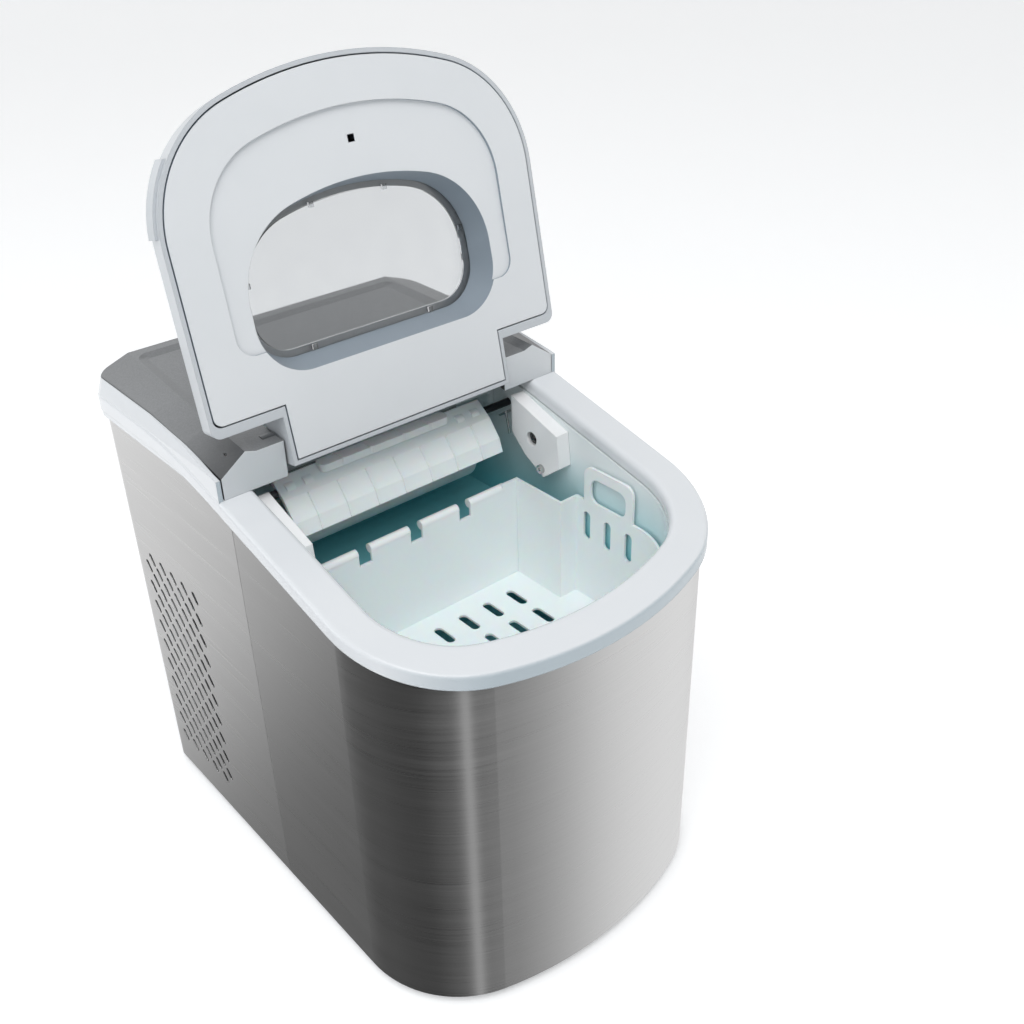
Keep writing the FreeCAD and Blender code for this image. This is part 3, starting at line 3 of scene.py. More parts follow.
import bmesh
import bpy
from mathutils import Matrix, Vector


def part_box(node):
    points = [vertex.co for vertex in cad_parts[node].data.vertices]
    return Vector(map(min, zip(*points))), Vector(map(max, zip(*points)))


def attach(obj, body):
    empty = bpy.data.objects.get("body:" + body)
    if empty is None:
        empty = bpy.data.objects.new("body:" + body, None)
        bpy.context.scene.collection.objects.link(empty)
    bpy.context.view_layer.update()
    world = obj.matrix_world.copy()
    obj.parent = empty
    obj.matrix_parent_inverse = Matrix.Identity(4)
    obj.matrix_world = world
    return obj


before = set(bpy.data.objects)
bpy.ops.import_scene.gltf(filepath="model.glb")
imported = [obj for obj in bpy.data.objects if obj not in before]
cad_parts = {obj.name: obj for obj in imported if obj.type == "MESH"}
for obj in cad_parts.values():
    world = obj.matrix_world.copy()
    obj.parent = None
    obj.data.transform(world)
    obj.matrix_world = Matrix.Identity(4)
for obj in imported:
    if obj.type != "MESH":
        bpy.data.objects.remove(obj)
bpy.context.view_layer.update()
scene = bpy.context.scene


# ---- The counter ----
# A smooth pale counter that runs up into a plain backdrop, so the ice maker stands in an even white
# surround. It is a sprayed sheet with a very fine stipple.

def colour(hex_code):
    """The linear colour of an sRGB hex value."""
    parts = [int(hex_code[start:start + 2], 16) / 255 for start in (1, 3, 5)]
    return [part / 12.92 if part <= 0.04045 else ((part + 0.055) / 1.055) ** 2.4 for part in parts] + [1.0]


def new_material(name, **sockets):
    """A material with one surface shader. An underscore in a socket's name stands for a space."""
    made = bpy.data.materials.new(name)
    made.use_nodes = True
    surface = made.node_tree.nodes["Principled BSDF"]
    for socket, value in sockets.items():
        surface.inputs[socket.replace("_", " ")].default_value = value
    return made, surface


def add(made, kind, inputs, **settings):
    """Adds one node. An input given as another node's output is linked, any other is set."""
    fresh = made.node_tree.nodes.new("ShaderNode" + kind)
    for setting, value in settings.items():
        setattr(fresh, setting, value)
    for socket, value in inputs.items():
        if isinstance(value, bpy.types.NodeSocket):
            made.node_tree.links.new(value, fresh.inputs[socket])
        else:
            fresh.inputs[socket].default_value = value
    return fresh


def wire(made, output, surface, socket):
    made.node_tree.links.new(output, surface.inputs[socket])


def per_metre(millimetres):
    """Texture scale that gives features of a size in millimetres."""
    return 1000.0 / millimetres


def sprayed_finish(name, shade, stipple_mm, roughness):
    """Sprayed paint: fine stipple and a very slow drift in tone."""
    made, surface = new_material(name, Roughness=roughness)
    place = add(made, "TexCoord", {}).outputs["Object"]
    drift = add(made, "TexNoise", {"Vector": place, "Scale": per_metre(400.0)}).outputs["Fac"]
    tone = add(made, "Mix", {0: drift, 6: colour(shade), 7: [c * 0.985 for c in colour(shade)[:3]] + [1.0]},
               data_type="RGBA")
    stipple = add(made, "TexNoise", {"Vector": place, "Scale": per_metre(stipple_mm)}).outputs["Fac"]
    bump = add(made, "Bump", {"Height": stipple, "Strength": 0.05, "Distance": 0.0001})
    wire(made, tone.outputs[2], surface, "Base Color")
    wire(made, bump.outputs["Normal"], surface, "Normal")
    return made


def placed(name, drawn):
    """Turns a finished bmesh into an object in the scene."""
    data = bpy.data.meshes.new(name)
    drawn.to_mesh(data)
    drawn.free()
    made = bpy.data.objects.new(name, data)
    scene.collection.objects.link(made)
    return made


def grid_object(name, rows):
    """A mesh sheet through rows of points, all rows the same length."""
    sheet = bmesh.new()
    made_rows = [[sheet.verts.new(point) for point in row] for row in rows]
    for near, far in zip(made_rows, made_rows[1:]):
        for step in range(len(near) - 1):
            sheet.faces.new((near[step], near[step + 1], far[step + 1], far[step]))
    made = placed(name, sheet)
    made.data.shade_smooth()
    return made


COUNTER_REACH = 6.0
SWEEP_RADIUS = 1.5
sweep_steps = [math.radians(angle) for angle in range(0, 91, 6)]
profile = [(-COUNTER_REACH, 0.0)]
profile += [(COUNTER_REACH - SWEEP_RADIUS + SWEEP_RADIUS * math.sin(a), SWEEP_RADIUS * (1 - math.cos(a)))
            for a in sweep_steps]
profile += [(COUNTER_REACH, COUNTER_REACH)]
counter = grid_object("counter_sweep", [[(x, y, z) for x in (COUNTER_REACH * 1.5, 0.0, -COUNTER_REACH * 1.5)]
                                        for y, z in profile])
counter_finish = sprayed_finish("sprayed_white_sheet", "#F7F8F9", 0.8, 0.6)
counter_glow = counter_finish.node_tree.nodes["Principled BSDF"].inputs
counter_glow["Emission Color"].default_value = colour("#FFFFFF")
counter_glow["Emission Strength"].default_value = 0.27
counter.data.materials.append(counter_finish)
counter.visible_glossy = False


# ---- Studio light and camera ----
# A soft box overhead, one to the rear left, and a pale surround that is darker in front. Glossy faces see
# cards instead: white behind and to the right, dark in front and to the left, with one bright strip.
# The camera looks down on the open lid from the front left.

def soft_box(name, place, aim, width, height, power):
    data = bpy.data.lights.new(name, "AREA")
    data.shape = "RECTANGLE"
    data.size = width
    data.size_y = height
    data.energy = power
    made = bpy.data.objects.new(name, data)
    made.location = place
    made.rotation_euler = (Vector(aim) - Vector(place)).to_track_quat("-Z", "Y").to_euler()
    scene.collection.objects.link(made)


soft_box("overhead_soft_box", (-0.6, -0.9, 2.0), (0.0, -0.05, 0.25), 1.6, 1.4, 23.0)
soft_box("rear_left_soft_box", (-2.0, 1.2, 1.4), (0.0, 0.1, 0.2), 1.6, 1.8, 8.0)

# Each card edge: degrees round from straight in front, towards the right, and how bright it is there.
CARDS = ((-180, 0.96), (-158, 0.96), (-152, 0.5), (-145, 0.13), (-95, 0.05), (-65, 0.02), (-38, 0.09),
         (-30, 0.18), (-24, 0.56), (-18, 0.14), (0, 0.19), (20, 0.42), (42, 0.82), (75, 1.0), (110, 0.72),
         (165, 0.72), (180, 0.96))
CARD_LIGHT = 1.3
LOW_CARD_SHARE = 0.22
UPPER_CARD = (0.4, 0.4, 0.4)
EVEN_LIGHT = 0.64
FRONT_SHADE = 0.35
surround = bpy.data.worlds.new("card_surround")
surround.use_nodes = True
towards = add(surround, "SeparateXYZ", {0: add(surround, "TexCoord", {}).outputs["Generated"]}).outputs
behind = add(surround, "Math", {0: towards[1], 1: -1.0}, operation="MULTIPLY").outputs[0]
round_angle = add(surround, "Math", {0: towards[0], 1: behind}, operation="ARCTAN2").outputs[0]
round_share = add(surround, "MapRange", {"Value": round_angle, "From Min": -math.pi, "From Max": math.pi})
cards = add(surround, "ValToRGB", {"Fac": round_share.outputs["Result"]})
for angle, light in CARDS[1:-1]:
    edge_mark = cards.color_ramp.elements.new((angle + 180) / 360)
    edge_mark.color = (light, light, light, 1.0)
cards.color_ramp.elements[0].color = (CARDS[0][1],) * 3 + (1.0,)
cards.color_ramp.elements[-1].color = (CARDS[-1][1],) * 3 + (1.0,)

# The card behind to the left fades towards the counter. No card is darker than the upper one above eye level.
fall_off = add(surround, "MapRange", {"Value": towards[2], "From Min": -0.71, "From Max": -0.6,
                                      "To Min": LOW_CARD_SHARE}).outputs["Result"]
not_left = add(surround, "MapRange", {"Value": round_angle, "From Min": -2.4,
                                      "From Max": -1.9}).outputs["Result"]
kept_light = add(surround, "Math", {0: fall_off, 1: not_left}, operation="MAXIMUM").outputs[0]
card_strength = add(surround, "Math", {0: kept_light, 1: CARD_LIGHT}, operation="MULTIPLY").outputs[0]
lit_cards = add(surround, "VectorMath", {0: cards.outputs["Color"], "Scale": card_strength},
                operation="SCALE")
above = add(surround, "MapRange", {"Value": towards[2], "From Min": -0.12,
                                   "From Max": 0.15}).outputs["Result"]
lifted = add(surround, "VectorMath", {0: lit_cards.outputs[0], 1: UPPER_CARD}, operation="MAXIMUM").outputs[0]
all_cards = add(surround, "Mix", {0: above, 6: lit_cards.outputs[0], 7: lifted}, data_type="RGBA").outputs[2]

# Glossy rays see the cards, the camera sees a plain pale backdrop, and every other ray the even surround.
rays = add(surround, "LightPath", {}).outputs
even = add(surround, "MapRange", {"Value": towards[1], "From Min": -0.95, "From Max": -0.25,
                                  "To Min": EVEN_LIGHT * FRONT_SHADE, "To Max": EVEN_LIGHT}).outputs["Result"]
even_tint = add(surround, "VectorMath", {0: colour("#F9FAFB")[:3], "Scale": even}, operation="SCALE")
soft_or_cards = add(surround, "Mix", {0: rays["Is Glossy Ray"], 6: even_tint.outputs[0], 7: all_cards},
                    data_type="RGBA").outputs[2]
seen = add(surround, "Mix", {0: rays["Is Camera Ray"], 6: soft_or_cards, 7: colour("#F4F6F8")},
           data_type="RGBA").outputs[2]
wire(surround, seen, surround.node_tree.nodes["Background"], "Color")
scene.world = surround
scene.view_settings.view_transform = "Standard"

camera_data = bpy.data.cameras.new("camera")
camera_data.lens = 40.856
camera_data.shift_y = -0.0131
camera_data.clip_start = 0.01
camera = bpy.data.objects.new("camera", camera_data)
camera.location = (-0.3423, -0.4896, 0.5970)
camera.rotation_euler = [math.radians(angle) for angle in (59.087, 1.204, -40.935)]
scene.collection.objects.link(camera)
scene.camera = camera


# ---- Feet and grommets ----
# Four small feet and the compressor's grommets, moulded in black nitrile rubber and pushed into holes in
# the base. The matt, faintly dusty skin breaks up any highlight.

def dress(made, *nodes):
    """Gives CAD nodes their finish."""
    for node in nodes:
        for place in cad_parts[node].material_slots:
            place.material = made


def moulded(name, shade, shadow, grain_mm, depth_mm, edge_mm, **sockets):
    """Moulded plastic or rubber: grain from the tool, faint drifts in tone and gloss, softened edges."""
    made, surface = new_material(name, **sockets)
    gloss = surface.inputs["Roughness"].default_value
    place = add(made, "TexCoord", {}).outputs["Object"]
    drift = add(made, "TexNoise", {"Vector": place, "Scale": per_metre(45.0), "Detail": 3.0}).outputs["Fac"]
    grain = add(made, "TexNoise", {"Vector": place, "Scale": per_metre(grain_mm),
                                   "Detail": 2.0}).outputs["Fac"]
    tone = add(made, "Mix", {0: drift, 6: colour(shade), 7: colour(shadow)}, data_type="RGBA")
    dull = add(made, "MapRange", {"Value": drift, "To Min": gloss * 0.85, "To Max": gloss * 1.15})
    edge = add(made, "Bevel", {"Radius": edge_mm / 1000}, samples=4)
    bump = add(made, "Bump", {"Height": grain, "Strength": 0.5, "Distance": depth_mm / 1000,
                              "Normal": edge.outputs["Normal"]})
    wire(made, tone.outputs[2], surface, "Base Color")
    wire(made, dull.outputs["Result"], surface, "Roughness")
    wire(made, bump.outputs["Normal"], surface, "Normal")
    return made


nitrile = moulded("moulded_nitrile_rubber", "#1B1B1C", "#262627", 1.2, 0.05, 0.4, Roughness=0.7)
dress(nitrile, "foot_front_left", "foot_front_right", "foot_rear_left", "foot_rear_right",
      "compressor_grommets", "drain_cap")


# ---- Base and rear panel ----
# Pressed from zinc-coated steel sheet. The zinc sets in flakes a few millimetres across that catch the
# light differently, over a dull grey metal.

def zinc_sheet(name, light, dark, flake_mm):
    made, surface = new_material(name, Metallic=0.85, Roughness=0.45)
    place = add(made, "TexCoord", {}).outputs["Object"]
    flake = add(made, "TexVoronoi", {"Vector": place, "Scale": per_metre(flake_mm)}).outputs["Color"]
    share = add(made, "SeparateColor", {"Color": flake}).outputs[0]
    tone = add(made, "Mix", {0: share, 6: colour(light), 7: colour(dark)}, data_type="RGBA")
    dull = add(made, "MapRange", {"Value": share, "To Min": 0.38, "To Max": 0.55})
    edge = add(made, "Bevel", {"Radius": 0.0003}, samples=4)
    wire(made, tone.outputs[2], surface, "Base Color")
    wire(made, dull.outputs["Result"], surface, "Roughness")
    wire(made, edge.outputs["Normal"], surface, "Normal")
    return made


dress(zinc_sheet("zinc_coated_steel", "#A9ACAE", "#94979A", 4.0), "base_plate", "rear_panel")


# ---- Compressor and its pipes ----
# A drawn steel can in black stoving enamel, with a slight orange peel, and copper tubes brazed between
# it, the condenser and the evaporator. The copper is a little browned by handling.

enamel = moulded("black_stoving_enamel", "#0D0D0E", "#141415", 3.0, 0.06, 0.8, Roughness=0.22,
                 Coat_Weight=0.6)
dress(enamel, "compressor")

copper, copper_surface = new_material("drawn_copper_tube", Metallic=1.0, Roughness=0.3)
copper_place = add(copper, "TexCoord", {}).outputs["Object"]
tarnish = add(copper, "TexNoise", {"Vector": copper_place, "Scale": per_metre(9.0),
                                   "Detail": 5.0}).outputs["Fac"]
copper_tone = add(copper, "Mix", {0: tarnish, 6: colour("#D08A5E"), 7: colour("#8E5234")}, data_type="RGBA")
copper_dull = add(copper, "MapRange", {"Value": tarnish, "To Min": 0.2, "To Max": 0.5})
wire(copper, copper_tone.outputs[2], copper_surface, "Base Color")
wire(copper, copper_dull.outputs["Result"], copper_surface, "Roughness")
dress(copper, "discharge_pipe", "suction_pipe", "refrigerant_line", "filter_drier")


# ---- Condenser ----
# Thin aluminium fins pressed on to a tube, mill finish. The fins are 1.5 mm apart, drawn by bump as fine
# upright lines between the deep grooves.

fins, fins_surface = new_material("mill_aluminium_fins", Metallic=1.0, Roughness=0.4)
fins_place = add(fins, "TexCoord", {}).outputs["Object"]
fin_lines = add(fins, "TexWave", {"Vector": fins_place, "Scale": per_metre(1.5) / 20.0, "Distortion": 0.3},
                bands_direction="Z").outputs["Fac"]
# Painted shade: the colour is darker in the grooves between the fins.
fins_painted_groove_shade = add(fins, "Mix", {0: fin_lines, 6: colour("#8D9092"), 7: colour("#C4C7C9")}, data_type="RGBA")
fins_bump = add(fins, "Bump", {"Height": fin_lines, "Strength": 0.6, "Distance": 0.0004})
wire(fins, fins_painted_groove_shade.outputs[2], fins_surface, "Base Color")
wire(fins, fins_bump.outputs["Normal"], fins_surface, "Normal")
dress(fins, "condenser")


# ---- Fan, motors, pump and other black mouldings ----
# Glass-filled black nylon and ABS with a spark-eroded grain, which gives a dry, even sheen.

black_nylon = moulded("grained_black_nylon", "#151617", "#1E1F20", 0.8, 0.05, 0.4, Roughness=0.5)
dress(black_nylon, "fan_shroud", "fan_motor", "fan_rotor", "gas_valve", "water_pump", "shovel_motor",
      "tray_motor", "power_gland")

sensor_black = moulded("smoked_polycarbonate", "#0A090B", "#120F14", 2.0, 0.01, 0.3, Roughness=0.12,
                       Coat_Weight=0.5)
dress(sensor_black, "infrared_sensor_left", "infrared_sensor_right")


# ---- Hoses and foam ----
# Milky silicone hose from the pump and to the drain, and expanded foam round the bin. The foam shows
# its beads, about 3 mm across.

silicone = moulded("milky_silicone", "#D9DBD6", "#CBCEC8", 2.5, 0.03, 0.5, Roughness=0.45,
                   Subsurface_Weight=0.2, Subsurface_Scale=0.004)
dress(silicone, "pump_hose", "drain_hose")

foam, foam_surface = new_material("expanded_polystyrene", Roughness=0.8)
foam_place = add(foam, "TexCoord", {}).outputs["Object"]
beads = add(foam, "TexVoronoi", {"Vector": foam_place, "Scale": per_metre(3.0)}).outputs["Distance"]
foam_tone = add(foam, "Mix", {0: beads, 6: colour("#F3F2EC"), 7: colour("#DCDAD2")}, data_type="RGBA")
foam_bump = add(foam, "Bump", {"Height": beads, "Strength": 0.5, "Distance": 0.0006}, invert=True)
wire(foam, foam_tone.outputs[2], foam_surface, "Base Color")
wire(foam, foam_bump.outputs["Normal"], foam_surface, "Normal")
dress(foam, "tank_foam")


# ---- Circuit boards ----
# Fibreglass boards under green solder mask, with paler lines where the copper tracks run.

board, board_surface = new_material("green_solder_mask", Roughness=0.3, Coat_Weight=0.3)
board_place = add(board, "TexCoord", {}).outputs["Object"]
tracks = add(board, "TexBrick", {"Vector": board_place, "Scale": per_metre(6.0), "Mortar Size": 0.06,
                                 "Color1": colour("#0F4A2B"), "Color2": colour("#0C3F25"),
                                 "Mortar": colour("#2F7A4B")}).outputs["Color"]
wire(board, tracks, board_surface, "Base Color")
dress(board, "control_board", "main_board")


# ---- Bin liner and ice works ----
# The liner is vacuum-formed in white ABS with a cool tint. Lower in the bin its colour is painted a deep
# blue-green, painted shade for the deep bin. The evaporator is nickel plated, and the tray under it is
# clear-white polypropylene.

liner = moulded("formed_white_abs_liner", "#F0F6F7", "#E9F2F3", 6.0, 0.05, 1.0, Roughness=0.32)
liner_surface = liner.node_tree.nodes["Principled BSDF"]
liner_tone = liner_surface.inputs["Base Color"].links[0].from_socket
height = add(liner, "SeparateXYZ", {0: add(liner, "TexCoord", {}).outputs["Object"]}).outputs[2]
# Painted shade: lower in the bin the liner's colour turns a deep blue-green.
painted_shade_depth = add(liner, "MapRange", {"Value": height, "From Min": 0.25, "From Max": 0.195}).outputs["Result"]
painted_deep_shade = add(liner, "Mix", {0: painted_shade_depth, 6: liner_tone, 7: colour("#8AD6DE")}, data_type="RGBA")
wire(liner, painted_deep_shade.outputs[2], liner_surface, "Base Color")
dress(liner, "tank", "evaporator_bridge", "drain_socket")

nickel, nickel_surface = new_material("bright_nickel_plate", Metallic=1.0, Roughness=0.16)
nickel_place = add(nickel, "TexCoord", {}).outputs["Object"]
cloud = add(nickel, "TexNoise", {"Vector": nickel_place, "Scale": per_metre(5.0),
                                 "Detail": 4.0}).outputs["Fac"]
nickel_tone = add(nickel, "Mix", {0: cloud, 6: colour("#C9CBCC"), 7: colour("#AFAFAE")}, data_type="RGBA")
nickel_dull = add(nickel, "MapRange", {"Value": cloud, "To Min": 0.1, "To Max": 0.26})
wire(nickel, nickel_tone.outputs[2], nickel_surface, "Base Color")
wire(nickel, nickel_dull.outputs["Result"], nickel_surface, "Roughness")
dress(nickel, "evaporator", "retaining_wire", "bracket_screws", "hinge_pins")

dark_steel = moulded("blued_steel_rod", "#35383B", "#45484B", 1.5, 0.01, 0.3, Metallic=0.9, Roughness=0.3)
dress(dark_steel, "shovel_shaft")

milky = moulded("milky_polypropylene", "#FAFCFD", "#F5F9FA", 1.6, 0.03, 0.7, Roughness=0.3,
                Subsurface_Weight=0.35, Subsurface_Scale=0.006, Coat_Weight=0.15)
dress(milky, "ice_basket", "ice_shovel", "water_tray")


# ---- Rim, brackets and lid mouldings ----
# Glossy white ABS, injection moulded and fixed to the cabinet from inside. Large smooth faces with a very
# slight waviness and soft edges. The rim's front face and the walls of the window well get painted shade,
# a cooler grey.

white_abs = moulded("gloss_white_abs", "#E3E6E9", "#DDE1E5", 9.0, 0.02, 0.9, Roughness=0.24, Coat_Weight=0.2)
rim_surface = white_abs.node_tree.nodes["Principled BSDF"]
rim_tone = rim_surface.inputs["Base Color"].links[0].from_socket
rim_facing = add(white_abs, "SeparateXYZ", {0: add(white_abs, "TexCoord", {}).outputs["Normal"]}).outputs[1]
# Painted shade: rim faces turned to the front are mixed to a cooler grey.
rim_front_painted_shade = add(white_abs, "MapRange", {"Value": rim_facing, "From Min": -0.45,
                                        "From Max": -0.95}).outputs["Result"]
rim_painted_shade_mix = add(white_abs, "Mix", {0: rim_front_painted_shade, 6: rim_tone, 7: colour("#B4C0C7")},
              data_type="RGBA").outputs[2]
wire(white_abs, rim_painted_shade_mix, rim_surface, "Base Color")
dress(white_abs, "top_frame")
# Painted light: the sensor brackets take a lighter copy of the white ABS.
bracket_white_painted_light = moulded("gloss_white_abs_bracket_painted_light", "#FAFBFC", "#F5F7F8", 9.0, 0.02, 0.9, Roughness=0.24)
dress(bracket_white_painted_light, "sensor_bracket_left", "sensor_bracket_right")

pane_low, pane_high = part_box("lid_window")
pane_tilt = math.atan2(pane_high.z - pane_low.z, pane_high.y - pane_low.y)
LID_FACE = (0.0, -math.sin(pane_tilt), math.cos(pane_tilt))
lid_white = moulded("satin_white_abs", "#E2E5E8", "#DCE0E3", 7.0, 0.02, 0.7, Roughness=0.34)
lid_surface = lid_white.node_tree.nodes["Principled BSDF"]
lid_tone = lid_surface.inputs["Base Color"].links[0].from_socket
lid_facing = add(lid_white, "VectorMath", {0: add(lid_white, "TexCoord", {}).outputs["Normal"], 1: LID_FACE},
                 operation="DOT_PRODUCT").outputs["Value"]
# Painted shade: lid panel faces turned away from its face, the walls of the window well, are mixed to a
# darker blue-grey.
well_wall_painted_shade = add(lid_white, "MapRange", {"Value": lid_facing, "From Min": 0.75, "From Max": 0.3}).outputs["Result"]
well_wall_painted_shade_tone = add(lid_white, "Mix", {0: well_wall_painted_shade, 6: lid_tone, 7: colour("#929EA9")}, data_type="RGBA").outputs[2]
wire(lid_white, well_wall_painted_shade_tone, lid_surface, "Base Color")
dress(lid_white, "lid_panel")

lid_grey = moulded("satin_pale_grey_abs", "#C9CED2", "#C1C6CB", 7.0, 0.02, 0.7, Roughness=0.32)
dress(lid_grey, "lid_shell")


# ---- Lid window ----
# A pane of clear styrene acrylonitrile held by six small clips. Faint rub marks from wiping lie across it.

clear, clear_surface = new_material("clear_styrene_pane", Roughness=0.03, IOR=1.57, Transmission_Weight=1.0)
clear_place = add(clear, "TexCoord", {}).outputs["Object"]
rubs = add(clear, "TexNoise", {"Vector": clear_place, "Scale": per_metre(14.0), "Detail": 6.0}).outputs["Fac"]
clear_tone = add(clear, "Mix", {0: rubs, 6: colour("#DDDFE0"), 7: colour("#D6D8DA")}, data_type="RGBA")
clear_dull = add(clear, "MapRange", {"Value": rubs, "To Min": 0.0, "To Max": 0.07})
wire(clear, clear_tone.outputs[2], clear_surface, "Base Color")
wire(clear, clear_dull.outputs["Result"], clear_surface, "Roughness")
dress(clear, "lid_window", "window_clips")


# ---- Brushed steel cabinet ----
# Stainless sheet wrapped round the body and two side panels. The belt brushing runs level, with scratches
# about 0.3 mm apart and some centimetres long. They are drawn 0.6 mm apart so that they show.

QUARTER_TURN = 0.25
SCRATCH_APART_MM = 0.6
BAND_APART_MM = 6.0


def brushed(name, light, dark):
    made, surface = new_material(name, Metallic=1.0, Roughness=0.3, Anisotropic=0.9,
                                 Anisotropic_Rotation=QUARTER_TURN)
    place = add(made, "TexCoord", {}).outputs["Object"]
    fine_at = add(made, "Mapping", {"Vector": place, "Scale": (10.0, 10.0, per_metre(SCRATCH_APART_MM))})
    broad_at = add(made, "Mapping", {"Vector": place, "Scale": (5.0, 5.0, per_metre(BAND_APART_MM))})
    fine = add(made, "TexNoise", {"Vector": fine_at.outputs[0], "Scale": 1.0, "Detail": 3.0}).outputs["Fac"]
    broad = add(made, "TexNoise", {"Vector": broad_at.outputs[0], "Scale": 1.0, "Detail": 3.0}).outputs["Fac"]
    both = add(made, "Mix", {0: 0.3, 2: fine, 3: broad}, data_type="FLOAT").outputs[0]
    tone = add(made, "Mix", {0: both, 6: colour(dark), 7: colour(light)}, data_type="RGBA")
    dull = add(made, "MapRange", {"Value": both, "From Min": 0.3, "From Max": 0.7,
                                  "To Min": 0.26, "To Max": 0.34})
    edge = add(made, "Bevel", {"Radius": 0.0004}, samples=4)
    bump = add(made, "Bump", {"Height": fine, "Strength": 0.04, "Distance": 0.0001,
                              "Normal": edge.outputs["Normal"]})
    tangent = add(made, "Tangent", {}, direction_type="RADIAL", axis="Z")
    wire(made, tone.outputs[2], surface, "Base Color")
    wire(made, dull.outputs["Result"], surface, "Roughness")
    wire(made, bump.outputs["Normal"], surface, "Normal")
    wire(made, tangent.outputs[0], surface, "Tangent")
    return made


dress(brushed("belt_brushed_stainless_wrap", "#CFCFCF", "#B8B8B8"), "front_wrap")
# Painted light: the side panels take a lighter copy of the steel on the wrap.
dress(brushed("belt_brushed_stainless_sides_painted_lighter", "#DEDEDE", "#C8C8C8"), "side_panel_left", "side_panel_right")


# ---- Rear housing ----
# The housing behind the lid is ABS sprayed with a silver-grey metallic paint. Its flakes make a fine
# sparkle. Sloping faces get painted shade, darker than level ones, and the faces to the front get painted
# light, a light silver.

paint, paint_surface = new_material("silver_grey_metallic_paint", Metallic=0.3, Roughness=0.42)
paint_place = add(paint, "TexCoord", {}).outputs
flakes = add(paint, "TexVoronoi", {"Vector": paint_place["Object"], "Scale": per_metre(0.6)}).outputs["Color"]
flake_share = add(paint, "SeparateColor", {"Color": flakes}).outputs[0]
facing = add(paint, "SeparateXYZ", {0: paint_place["Normal"]}).outputs
level = add(paint, "MapRange", {"Value": facing[2], "From Min": 0.8, "From Max": 0.97}).outputs["Result"]
front_faces_painted_light = add(paint, "MapRange", {"Value": facing[1], "From Min": -0.5, "From Max": -0.85}).outputs["Result"]
sparkle = add(paint, "Mix", {0: flake_share, 6: colour("#828486"), 7: colour("#8C8E90")}, data_type="RGBA")
# Painted shade: sloping faces are mixed to a dark grey.
turned = add(paint, "Mix", {0: level, 6: colour("#46484A"), 7: sparkle.outputs[2]}, data_type="RGBA")
# Painted light: faces turned to the front are mixed to a light silver.
paint_tone_with_painted_light_and_shade = add(paint, "Mix", {0: front_faces_painted_light, 6: turned.outputs[2], 7: colour("#D6DADD")}, data_type="RGBA")
paint_edge = add(paint, "Bevel", {"Radius": 0.0009}, samples=4)
paint_bump = add(paint, "Bump", {"Height": flake_share, "Strength": 0.1, "Distance": 0.00005,
                                 "Normal": paint_edge.outputs["Normal"]})
wire(paint, paint_tone_with_painted_light_and_shade.outputs[2], paint_surface, "Base Color")
wire(paint, paint_bump.outputs["Normal"], paint_surface, "Normal")
dress(paint, "rear_housing")


# ---- Controls ----
# A printed polyester overlay with two satin ABS buttons and a smoked lens over four small lamps. The
# symbols are plain printed marks: a ring and stroke for power, a small and a large block for ice size.

overlay = moulded("textured_polyester_overlay", "#2A2D30", "#24272A", 0.5, 0.02, 0.3, Roughness=0.42)
dress(overlay, "control_overlay")
button_satin = moulded("satin_silver_abs", "#B8BBBE", "#ADB0B3", 1.0, 0.02, 0.4, Roughness=0.35, Metallic=0.3)
dress(button_satin, "power_button", "size_button")
lens = moulded("smoked_acrylic_lens", "#26343A", "#1E2B31", 3.0, 0.01, 0.3, Roughness=0.1, Coat_Weight=0.5)
dress(lens, "indicator_lens")

overlay_low, overlay_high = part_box("control_overlay")
OVERLAY_TILT = math.radians(2.7)
OVERLAY_THICK = 0.0006
MARK_THICK = 0.00008
INK_RISE = OVERLAY_THICK + 0.00002
overlay_centre = (overlay_low + overlay_high) / 2
overlay_middle = Matrix.Translation((0, overlay_centre.y, overlay_centre.z - OVERLAY_THICK / 2))
overlay_plane = overlay_middle @ Matrix.Rotation(OVERLAY_TILT, 4, "X")
mark_white = moulded("printed_white_ink", "#E8EAEB", "#DDE0E1", 0.6, 0.005, 0.1, Roughness=0.5)


def printed_stroke(name, path, width, rise, closed, body, ink):
    """A flat band of ink along a path drawn on the overlay's plane, a little above it."""
    drawn = bmesh.new()
    count = len(path)
    rings = []
    for index, here in enumerate(path):
        before = Vector(path[index - 1] if closed or index else here)
        after = Vector(path[(index + 1) % count] if closed or index < count - 1 else here)
        run = (after - before).normalized()
        side = Vector((-run.y, run.x)) * width / 2
        corners = [(Vector(here) + side, 0.0), (Vector(here) - side, 0.0),
                   (Vector(here) - side, MARK_THICK), (Vector(here) + side, MARK_THICK)]
        rings.append([drawn.verts.new(overlay_plane @ Vector((flat.x, flat.y, rise + up)))
                      for flat, up in corners])
    pairs = list(zip(rings, rings[1:])) + ([(rings[-1], rings[0])] if closed else [])
    for near, far in pairs:
        for step in range(4):
            drawn.faces.new((near[step], near[(step + 1) % 4], far[(step + 1) % 4], far[step]))
    if not closed:
        drawn.faces.new(rings[0])
        drawn.faces.new(rings[-1])
    bmesh.ops.recalc_face_normals(drawn, faces=drawn.faces)
    made = placed(name, drawn)
    made.data.materials.append(ink)
    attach(made, body)


def circle(x, y, radius, start, end, steps):
    """Points round part of a circle, between two angles in degrees."""
    span = [math.radians(start + (end - start) * step / steps) for step in range(steps + 1)]
    return [(x + radius * math.cos(a), y + radius * math.sin(a)) for a in span]


def rounded_square(x, y, half, corner):
    path = []
    for turn, (side_x, side_y) in enumerate(((1, 1), (-1, 1), (-1, -1), (1, -1))):
        path += circle(x + side_x * (half - corner), y + side_y * (half - corner), corner,
                       90 * turn, 90 * turn + 90, 5)
    return path


